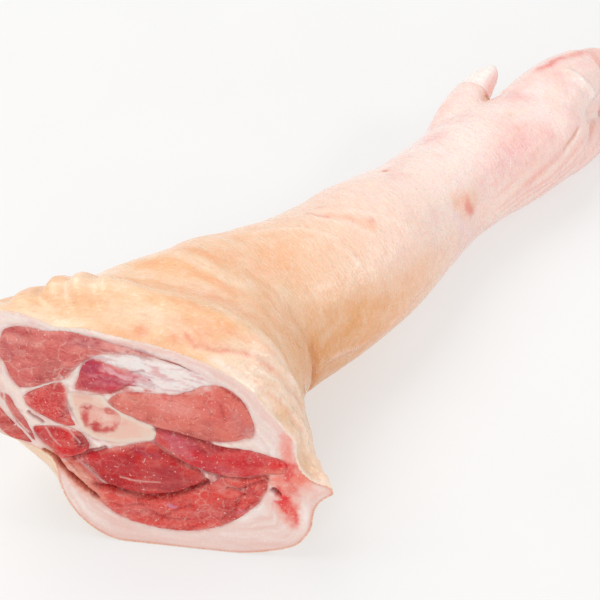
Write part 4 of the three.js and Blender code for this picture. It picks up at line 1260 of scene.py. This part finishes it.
def claw_material():
    s = Surface("claw_horn")
    tone = s.attribute("tone", "Color")
    claw = s.attribute("claw", "Vector")
    grain = s.noise(s.scaled(claw, (1.0, 0.08, 1.0)), 0.05, 4, 0.6)
    base = s.tinted(tone, grain, 0.45, 0.75, 0.4, (214, 160, 142))
    rings = s.noise(s.scaled(claw, (0.15, 1.0, 0.15)), 0.08, 3)
    base = s.tinted(base, rings, 0.5, 0.75, 0.3, (250, 238, 230))
    normal = s.bump(grain, 0.00012, 0.7)
    normal = s.bump(rings, 0.0003, 0.6, normal)
    rough = s.ranged(s.noise(s.place, 0.005, 3), 0.35, 0.65, 0.25, 0.42)
    s.finished(base, rough, normal, (0.25, 0.003), (1.0, 0.55, 0.4), (0.4, 0.15))
    return s.material


def floor_material():
    s = Surface("floor")
    grain = s.noise(s.place, 0.12, 2)
    base = s.mix(s.ranged(grain, 0.3, 0.7), (0.35, 0.348, 0.345, 1), (0.36, 0.358, 0.355, 1))
    s.wire(Base_Color=base, Roughness=0.7, Emission_Color=(1.0, 0.995, 0.99, 1.0), Emission_Strength=0.535)
    s.shader.inputs["Specular IOR Level"].default_value = 0.0
    return s.material


# The skin's colours: along the leg for the top and for the underside, whose tone is partly its golden hue
# and partly painted shade, then its blotches, streaks and stains, among them a few painted highlights
SKIN_ALONG = [
    (0, (237, 199, 160)), (25, (238, 192, 148)), (60, (240, 186, 140)), (110, (242, 194, 154)),
    (150, (244, 208, 184)), (185, (246, 212, 196)), (215, (249, 221, 210)), (260, (250, 227, 220)),
    (330, (250, 227, 221)), (380, (249, 219, 213)),
]
# The underside's tone: partly the skin's golden hue, partly painted shade on the side turned away from the
# top light
UNDER_ALONG = [
    (0, (244, 208, 176)), (50, (238, 182, 122)), (90, (224, 142, 48)), (140, (230, 158, 84)),
    (170, (238, 178, 130)), (205, (244, 200, 172)), (240, (249, 214, 200)), (280, (250, 218, 208)),
    (380, (248, 208, 200)),
]
BLOTCHES = [
    ((248, 84, 61), 8, (240, 168, 170), 0.5), ((311, 79, 59), 9, (240, 172, 170), 0.55),
    ((287, 52.6, 55.6), 15, (238, 168, 164), 0.6), ((275, 52, 55), 9, (236, 168, 168), 0.45),
    ((263, 50.5, 54), 9, (236, 172, 176), 0.4), ((304, 50, 53), 6, (238, 172, 170), 0.5),
    ((338, 75.5, 61.7), 9, (240, 176, 172), 0.5), ((243, 46, 50), 10, (240, 184, 176), 0.35),
    ((226, 43.6, 53), 6.5, (242, 164, 130), 0.6), ((229, 42, 48.6), 4.0, (230, 88, 74), 0.85),
    ((231.5, 41, 44.5), 2.6, (220, 96, 76), 0.7), ((236, 44, 50), 5, (240, 190, 150), 0.5),
    ((220.6, 42.5, 55), 4, (240, 184, 150), 0.45), ((222, 40, 47), 3, (240, 186, 140), 0.4),
    ((219, 37.6, 43), 5, (240, 218, 222), 0.3), ((82, 61, 94), 7, (242, 160, 112), 0.35),
    ((88, 49, 89), 8, (240, 156, 104), 0.4), ((102, 51, 86), 9, (242, 162, 112), 0.35),
    ((42, 47, 106), 8, (240, 154, 104), 0.4), ((49, 35, 104), 8, (238, 148, 96), 0.45),
    ((52, 22, 101), 7, (240, 154, 104), 0.4), ((23, 19, 113), 5, (240, 150, 106), 0.45),
    # Painted highlight: pale blotches in the hollow between the upper arm and forearm
    ((61, 32, 98), 6, (250, 214, 180), 0.5), ((46, 4, 104), 5, (250, 216, 184), 0.45),
    ((201.4, 76.4, 68.5), 1.5, (206, 92, 48), 0.95), ((160, 47, 76.5), 2.0, (226, 120, 96), 0.6),
    ((307, 96.5, 51), 3.2, (206, 136, 30), 1.0), ((294, 69, 61), 1.6, (196, 150, 90), 0.5),
    ((4, 35, 115), 3.2, (232, 130, 84), 0.65), ((12, 24, 114), 6, (240, 170, 124), 0.4),
    ((38, -18, 76), 5, (228, 168, 102), 0.6), ((43, -29, 52), 5.5, (228, 168, 104), 0.6),
    # Low under the elbow and forearm: partly the skin's golden hue, partly painted shade
    ((71, 14, 30), 14, (206, 142, 92), 0.45), ((110, 20, 36), 30, (222, 160, 104), 0.35),
    ((210, 45, 22), 12, (236, 186, 170), 0.4),
]
STREAKS = [
    (RED_SCRATCH, 1.2, (226, 96, 70), 0.75),
    ([(12, 24, 113), (20, 17, 110), (30, 9, 107)], 2.0, (238, 140, 100), 0.5),
    ([(16, 32, 114), (24, 24, 113), (36, 13, 109)], 2.4, (240, 156, 112), 0.45),
    ([(22, 20, 112), (33, 12, 109), (42, 4, 104), (47, -2, 98)], 2.0, (240, 150, 100), 0.45),
    *((line, 1.0, (254, 236, 222), 0.5) for line in STRETCH_MARKS),
    ([(139, 70, 79), (143, 61, 79.6)], 1.1, (226, 110, 96), 0.7),
    ([(146, 72, 78), (150, 69, 79)], 1.0, (236, 140, 120), 0.6),
    ([(146, 62, 80), (152, 53, 79), (158, 44, 75)], 2.4, (242, 170, 128), 0.5),
    ([(110, 66, 85), (122, 58, 83), (130, 48, 80)], 2.6, (240, 176, 128), 0.5),
    (UNDER_SEAM, 1.6, (250, 214, 196), 0.75),
    ([(x, y - 0.6, z - 2.4) for x, y, z in UNDER_SEAM], 1.3, (218, 120, 96), 0.5),
    *((line, 1.1, (254, 232, 218), 0.85) for line in LOBE_RIDGES),
    ([(31, -6, 94), (35, -10, 88), (39, -13, 82), (42, -17, 73), (45, -20, 65)], 1.1, (228, 140, 92), 0.6),
    ([(36, 0, 99), (42, -5, 93), (46, -10, 84), (50, -12, 75), (51, -15, 66)], 1.2, (232, 150, 106), 0.55),
    ([(21, 8, 105), (29, -5, 95), (32, -12, 87), (33, -17, 79), (35, -22, 73), (35, -25, 60), (38, -34, 47),
      (45, -39, 43)], 1.5, (250, 232, 218), 0.85),
    (TOE_GROOVE, 1.1, (214, 132, 108), 0.85),
    ([(x + 1.6, y, z - 2.2) for x, y, z in TOE_GROOVE], 1.0, (254, 242, 236), 0.8),
    # Painted highlight: a near-white line along the raised coronet fold
    (CORONET, 1.8, (255, 246, 242), 0.85),
    ([(216, 39, 52), (223, 38, 42), (231, 40, 27)], 2.0, (226, 204, 222), 0.4),
    ([(338, 84, 60), (346, 84, 60.8), (355, 84.6, 60), (363.5, 82.4, 59.2), (376, 82, 55.7)],
     3.6, (234, 104, 98), 0.8),
    ([(352, 76, 61), (362, 72, 58), (372, 70, 54)], 3.0, (248, 200, 190), 0.5),
    ([(364, 64, 28.6), (374, 67, 27)], 2.6, (224, 66, 60), 0.9),
    ([(354, 59, 31), (362, 62.5, 30)], 2.0, (246, 240, 238), 0.8),
]


def settled(values, faces, rounds):
    """Values at the corners of faces, evened out with their neighbours'."""
    pairs = np.array([(a, b) for face in faces for a, b in zip(face, face[1:] + face[:1])])
    start, end = np.concatenate([pairs[:, 0], pairs[:, 1]]), np.concatenate([pairs[:, 1], pairs[:, 0]])
    count = np.maximum(np.bincount(start, minlength=len(values)), 1)[:, None]
    for _ in range(rounds):
        values = np.stack([np.bincount(start, column[end], len(values)) for column in values.T], -1) / count
    return values


LEG_LENGTH = 420
# The mottling and the golden hue fade out this far down the leg, over this length
GOLDEN_TO = 190
GOLDEN_FADE = 60


def skin_colours(points, faces):
    _, angle, leg = leg_places(points)
    along = np.clip(settled(leg[:, :1], faces, 24)[:, 0], 0, LEG_LENGTH)
    from_cut = (points - CUT_FOOT) @ INWARD
    leg = points.copy()
    leg[:, 0] = from_cut + (points[:, 0] + 12 - from_cut) * smooth_step(points[:, 0] / 130)
    leg = settled(leg, faces, 8)

    def graded(stops):
        marks = np.array([mark for mark, _ in stops])
        tones = np.array([linear(colour) for _, colour in stops])
        return np.stack([np.interp(along, marks, tones[:, k]) for k in range(3)], -1)

    top, under = graded(SKIN_ALONG), graded(UNDER_ALONG)
    # The near side and underside take the underside tone, which is partly painted shade
    facing = turn_between(np.radians(angle), 80)
    low = smooth_step((np.abs(facing) - 36 + 8 * cloud(points, 30, 101, 2)) / 34)
    low = low * (1 - 0.4 * smooth_step(facing / 60))
    tone = top + (under - top) * low[:, None]
    patches = cloud(leg * np.array([0.5, 1, 1]), 14, 103, 3)
    golden = smooth_step((GOLDEN_TO - along) / GOLDEN_FADE)
    tone = mixed(tone, (238, 178, 120), 0.30 * smooth_step(patches) * golden)
    tone = mixed(tone, (252, 230, 204), 0.30 * smooth_step(-patches) * golden)
    pale = smooth_step((along - 175) / 50)
    tone = mixed(tone, (240, 176, 172), 0.34 * pale * smooth_step(cloud(points, 17, 107, 3) * 1.1))
    orange = cloud(leg * np.array([0.8, 0.22, 0.35]), 7, 117, 4)
    upper_arm = smooth_step((150 - along) / 70) * smooth_step((angle - 20) / 40)
    tone = mixed(tone, (238, 158, 104), 0.5 * upper_arm * smooth_step(orange * 1.1 + 0.1))
    tone = mixed(tone, (250, 226, 202), 0.4 * upper_arm * smooth_step(-orange * 1.5))
    stripes = foot_stripes(points, leg, angle)
    tone = mixed(tone, (240, 168, 158), 0.55 * smooth_step((stripes - 0.15) / 0.6))
    lobe = smooth_step((62 - points[:, 0]) / 12) * smooth_step((12 - points[:, 1]) / 16)
    tone = mixed(tone, (250, 222, 204), 0.55 * lobe)
    for place, radius, colour, strength in BLOTCHES:
        distance = np.linalg.norm(points - np.array(place), axis=1)
        distance = distance + 0.25 * radius * cloud(points, 3.5, 113, 2)
        tone = mixed(tone, colour, strength * bell(distance, radius))
    near = nearest_of(points)
    for line, width, colour, strength in STREAKS:
        distance = line_distance(points, snapped(line, points, near))
        fade = 0.75 + 0.35 * lattice_noise(points, 4, 127)
        tone = mixed(tone, colour, strength * fade * bell(distance, width))
    return tone, leg


def crumbs():
    """Small flakes of skin that cling to the leg."""
    shape = bmesh.new()
    bmesh.ops.create_icosphere(shape, subdivisions=2, radius=1)
    ball = np.array([v.co for v in shape.verts])
    faces = [tuple(v.index for v in f.verts) for f in shape.faces]
    shape.free()
    parts = []
    for place, size in CRUMBS:
        lump = ball * size * (1 + 0.45 * lattice_noise(ball * 2 + np.array(place), 1, 151)[:, None])
        parts.append((lump * random.uniform(0.6, 1.2, 3) + np.array(place), faces))
    return joined(parts)


def build_hide(skin_points, skin_faces, outline_of, face):
    """The hide with the fat at the cut and a pocket for each muscle, as one closed piece."""
    uv, triangles, label, pocket, rim_of, height, tone = face
    strip = (label >= 0) & ~pocket
    fat = (label == -1) | strip
    sunk = height.copy()
    inner = np.unique(triangles[strip])
    outer = np.unique(triangles[label == -1])
    below = np.setdiff1d(inner, outer)
    to_edge = np.full(len(uv), 1e9)
    to_pocket = np.full(len(uv), 1e9)
    lines = {name: pocket_of(name) for name in REGIONS if name != "marrow"}
    owner_of = {}
    for name, line in lines.items():
        near_pocket = line_distance(uv[below], line, True)
        near_edge = line_distance(uv[below], outline_of[name], True)
        closer = near_pocket < to_pocket[below]
        to_pocket[below[closer]] = near_pocket[closer]
        to_edge[below] = np.minimum(to_edge[below], near_edge)
        for i in below[closer]:
            owner_of[i] = name
    share = to_edge[below] / np.maximum(to_edge[below] + to_pocket[below], 1e-6)
    sunk[below] = sunk[below] * (1 - share) - 2.9 * share - 0.25 * np.minimum(share * 8, 1)
    holes = []
    for name in lines:
        spec = REGIONS[name]
        holes.append((
            lambda edge, name=name: owner_of.get(edge[0]) == name and owner_of.get(edge[1]) == name,
            spec["anchor"], spec["depth"], 1.0, 0.98, 1.4,
        ))
    used, points, faces = piece_mesh(uv, sunk, triangles[fat], holes)
    start = len(skin_points)
    skin_id = {k: rim_of[i] for k, i in enumerate(used) if i in rim_of}
    remap = np.array([skin_id.get(k, start + k) for k in range(len(points))])
    all_points = np.vstack([skin_points, points])
    all_faces = list(skin_faces) + [tuple(remap[i] for i in f) for f in faces]
    skin_tone, leg = skin_colours(skin_points, skin_faces)
    crumb_points, crumb_faces = crumbs()
    all_faces += [tuple(i + len(all_points) for i in f) for f in crumb_faces]
    all_points = np.vstack([all_points, crumb_points])
    piece = new_object("leg_hide", all_points, all_faces)
    mesh = piece.data
    cut_tone = np.tile(tone.mean(0), (len(points), 1))
    cut_tone[: len(used)] = tone[used]
    crumb_tone = np.tile(linear((250, 236, 218)), (len(crumb_points), 1))
    set_colours(mesh, np.vstack([skin_tone, cut_tone, crumb_tone]))
    set_vectors(mesh, np.vstack([leg, points * 0, crumb_points]), "leg")
    mesh.materials.append(skin_material())
    mesh.materials.append(fat_material())
    kinds = np.zeros(len(mesh.polygons), np.int32)
    kinds[len(skin_faces):len(skin_faces) + len(faces)] = 1
    mesh.polygons.foreach_set("material_index", kinds)
    front = np.count_nonzero(fat)
    kinds[len(skin_faces) + front:len(skin_faces) + len(faces)] = 3
    kinds[len(skin_faces) + np.nonzero(strip[fat])[0]] = 2
    finish_piece(piece, "rind_fat", None, kinds)


def walls_of(name, marrow):
    """The edges of a piece's front that carry walls, with what they run to, how deep and how wide."""
    spec = REGIONS[name]
    if name == "marrow":
        return [(lambda edge: True, spec["anchor"], spec["depth"], 0.96, 0.98, 0.0)]
    if name != "bone":
        return [(lambda edge: True, spec["anchor"], spec["depth"], 0.9, 1.0, 0.0)]
    inner = REGIONS["marrow"]

    def at_marrow(edge):
        return edge[0] in marrow and edge[1] in marrow

    return [
        (lambda edge: not at_marrow(edge), spec["anchor"], spec["depth"], 0.9, 1.0, 0.0),
        (at_marrow, inner["anchor"], inner["depth"], 1.0, 1.0, 1.0),
    ]


def build_at_cut(name, uv, height, mine, marrow, facts, material):
    """A muscle, the bone or the marrow, from its front at the cut into the leg."""
    used, points, faces = piece_mesh(uv, height, mine, walls_of(name, marrow))
    muscle = name.startswith("muscle")
    piece = new_object(name + ("_meat" if muscle else "_end"), points, faces)
    set_colours(piece.data, face_colours(uv[used], name, *(fact[used] for fact in facts)))
    marbling = np.full((len(used), 1), REGIONS[name]["marbling"])
    set_layer(piece.data, "marbling", "FLOAT", "value", marbling, 0)
    kinds = np.zeros(len(piece.data.polygons), np.int32)
    kinds[len(mine):] = 1
    finish_piece(piece, name, material, kinds)


def build_claw(name, first, stations, material):
    """The horn of a toe, just inside the solid, with its colours from base to tip."""
    fine = np.linspace(0, len(stations) - 1, 481)
    x = between(np.array(stations, float)[:, 0], fine)
    t = fine[x > first - 0.3]
    t = t[:: max(len(t) // 60, 1)]
    angles = np.radians(np.arange(0, 360, 5))
    rings = limb_grid(stations, t, angles, CLAW_SHARE)
    share = (t - t[0]) / (t[-1] - t[0])
    middle = rings.mean(1, keepdims=True)
    coords = np.stack(np.broadcast_arrays(np.cos(angles)[None], share[:, None], np.sin(angles)[None]), -1)
    ripple = 1 + 0.012 * np.sin(share[:, None] * 40 + np.sin(angles) * 1.4)
    ripple = ripple + 0.01 * lattice_noise(coords * [3, 6, 3], 1, 131)
    rings = middle + (rings - middle) * ripple[..., None]
    piece = new_object(name + "_horn", *tube(rings))
    flat = coords.reshape(-1, 3)
    dew = name.startswith("dew")
    tone = np.tile(linear((255, 244, 238) if dew else (245, 222, 212)), (len(flat), 1))
    tone = mixed(tone, (236, 160, 148), (0.08 if dew else 0.6) * bell(flat[:, 1], 0.18))
    tone = mixed(tone, (236, 130, 122), 0.5 * dew * bell(flat[:, 0] - 0.9, 0.3))
    tone = mixed(tone, (240, 190, 176), 0.4 * smooth_step(-flat[:, 2]))
    tone = mixed(tone, (232, 204, 176), 0.4 * smooth_step((flat[:, 1] - 0.85) / 0.15))
    set_colours(piece.data, tone)
    set_vectors(piece.data, flat, "claw")
    finish_piece(piece, name, material)


skin_points, skin_faces, loop = built_skin()
uv, triangles, label, pocket, rim, rim_of, outline_of = built_face(skin_points, loop)
height, own, from_rim, dark, between_meats = face_relief(uv, triangles, label, rim, outline_of)
# How deep the face sinks, which its colours turn into painted shade
cut_facts = (own, from_rim, dark, np.maximum(-height, 0), between_meats)
fat_tone = face_colours(uv, None, *cut_facts)
build_hide(skin_points, skin_faces, outline_of, (uv, triangles, label, pocket, rim_of, height, fat_tone))

materials = {"bone": bone_material(), "marrow": marrow_material()}
meat = meat_material()
marrow_points = set(np.unique(triangles[label == ORDER.index("marrow")]).tolist())
for k, name in enumerate(ORDER):
    mine = triangles[label == k]
    build_at_cut(name, uv, height, mine, marrow_points, cut_facts, materials.get(name, meat))

horn = claw_material()
for name, (first, stations) in TOES.items():
    build_claw(name, first, stations, horn)

# Floor, light and camera
FLOOR_REACH = 3.0
FLOOR_DROP = 0.0002
floor_mesh = bpy.data.meshes.new("floor")
corners = [(x * FLOOR_REACH, y * FLOOR_REACH, 0) for x, y in ((-1, -1), (1, -1), (1, 1), (-1, 1))]
floor_mesh.from_pydata(corners, [], [(0, 1, 2, 3)])
floor = bpy.data.objects.new("floor", floor_mesh)
floor.location.z = -FLOOR_DROP
bpy.context.scene.collection.objects.link(floor)
floor_mesh.materials.append(floor_material())


def area_light(name, place, aim, size, power):
    data = bpy.data.lights.new(name, "AREA")
    data.shape = "RECTANGLE"
    data.size, data.size_y = size
    data.energy = power
    lamp = bpy.data.objects.new(name, data)
    lamp.location = place
    lamp.rotation_euler = (Vector(aim) - Vector(place)).to_track_quat("-Z", "Y").to_euler()
    bpy.context.scene.collection.objects.link(lamp)


area_light("top_light", (-0.25, 0.75, 1.5), (0, 0, 0), (1.6, 1.2), 16.5)
area_light("front_light", (-1.4, -0.8, 0.9), (-0.1, 0, 0.05), (1.0, 1.0), 8.5)
area_light("sheen_light", (0.66, -0.95, 0.95), (0, 0, 0.06), (0.45, 0.3), 4.2)
world = bpy.data.worlds.new("studio")
bpy.context.scene.world = world
world.use_nodes = True
world.node_tree.nodes["Background"].inputs["Color"].default_value = (1, 0.995, 0.985, 1)
world.node_tree.nodes["Background"].inputs["Strength"].default_value = 0.54

camera_data = bpy.data.cameras.new("camera")
camera_data.sensor_width = 36
camera_data.lens = 103.5
camera_data.clip_end = 20
camera = bpy.data.objects.new("camera", camera_data)
CAMERA_PLACE = (-0.50950, -0.43188, 0.63073)
ELEVATION, TURN = math.radians(43), math.radians(44.363)
right = Vector((math.cos(TURN), -math.sin(TURN), 0))
level = Vector((math.sin(TURN), math.cos(TURN), 0))
forward = level * math.cos(ELEVATION) - Vector((0, 0, math.sin(ELEVATION)))
upward = level * math.sin(ELEVATION) + Vector((0, 0, math.cos(ELEVATION)))
turned = Matrix((right, upward, -forward)).transposed().to_4x4()
camera.matrix_world = Matrix.Translation(CAMERA_PLACE) @ turned
bpy.context.scene.collection.objects.link(camera)
bpy.context.scene.camera = camera
bpy.context.scene.view_settings.view_transform = "Standard"
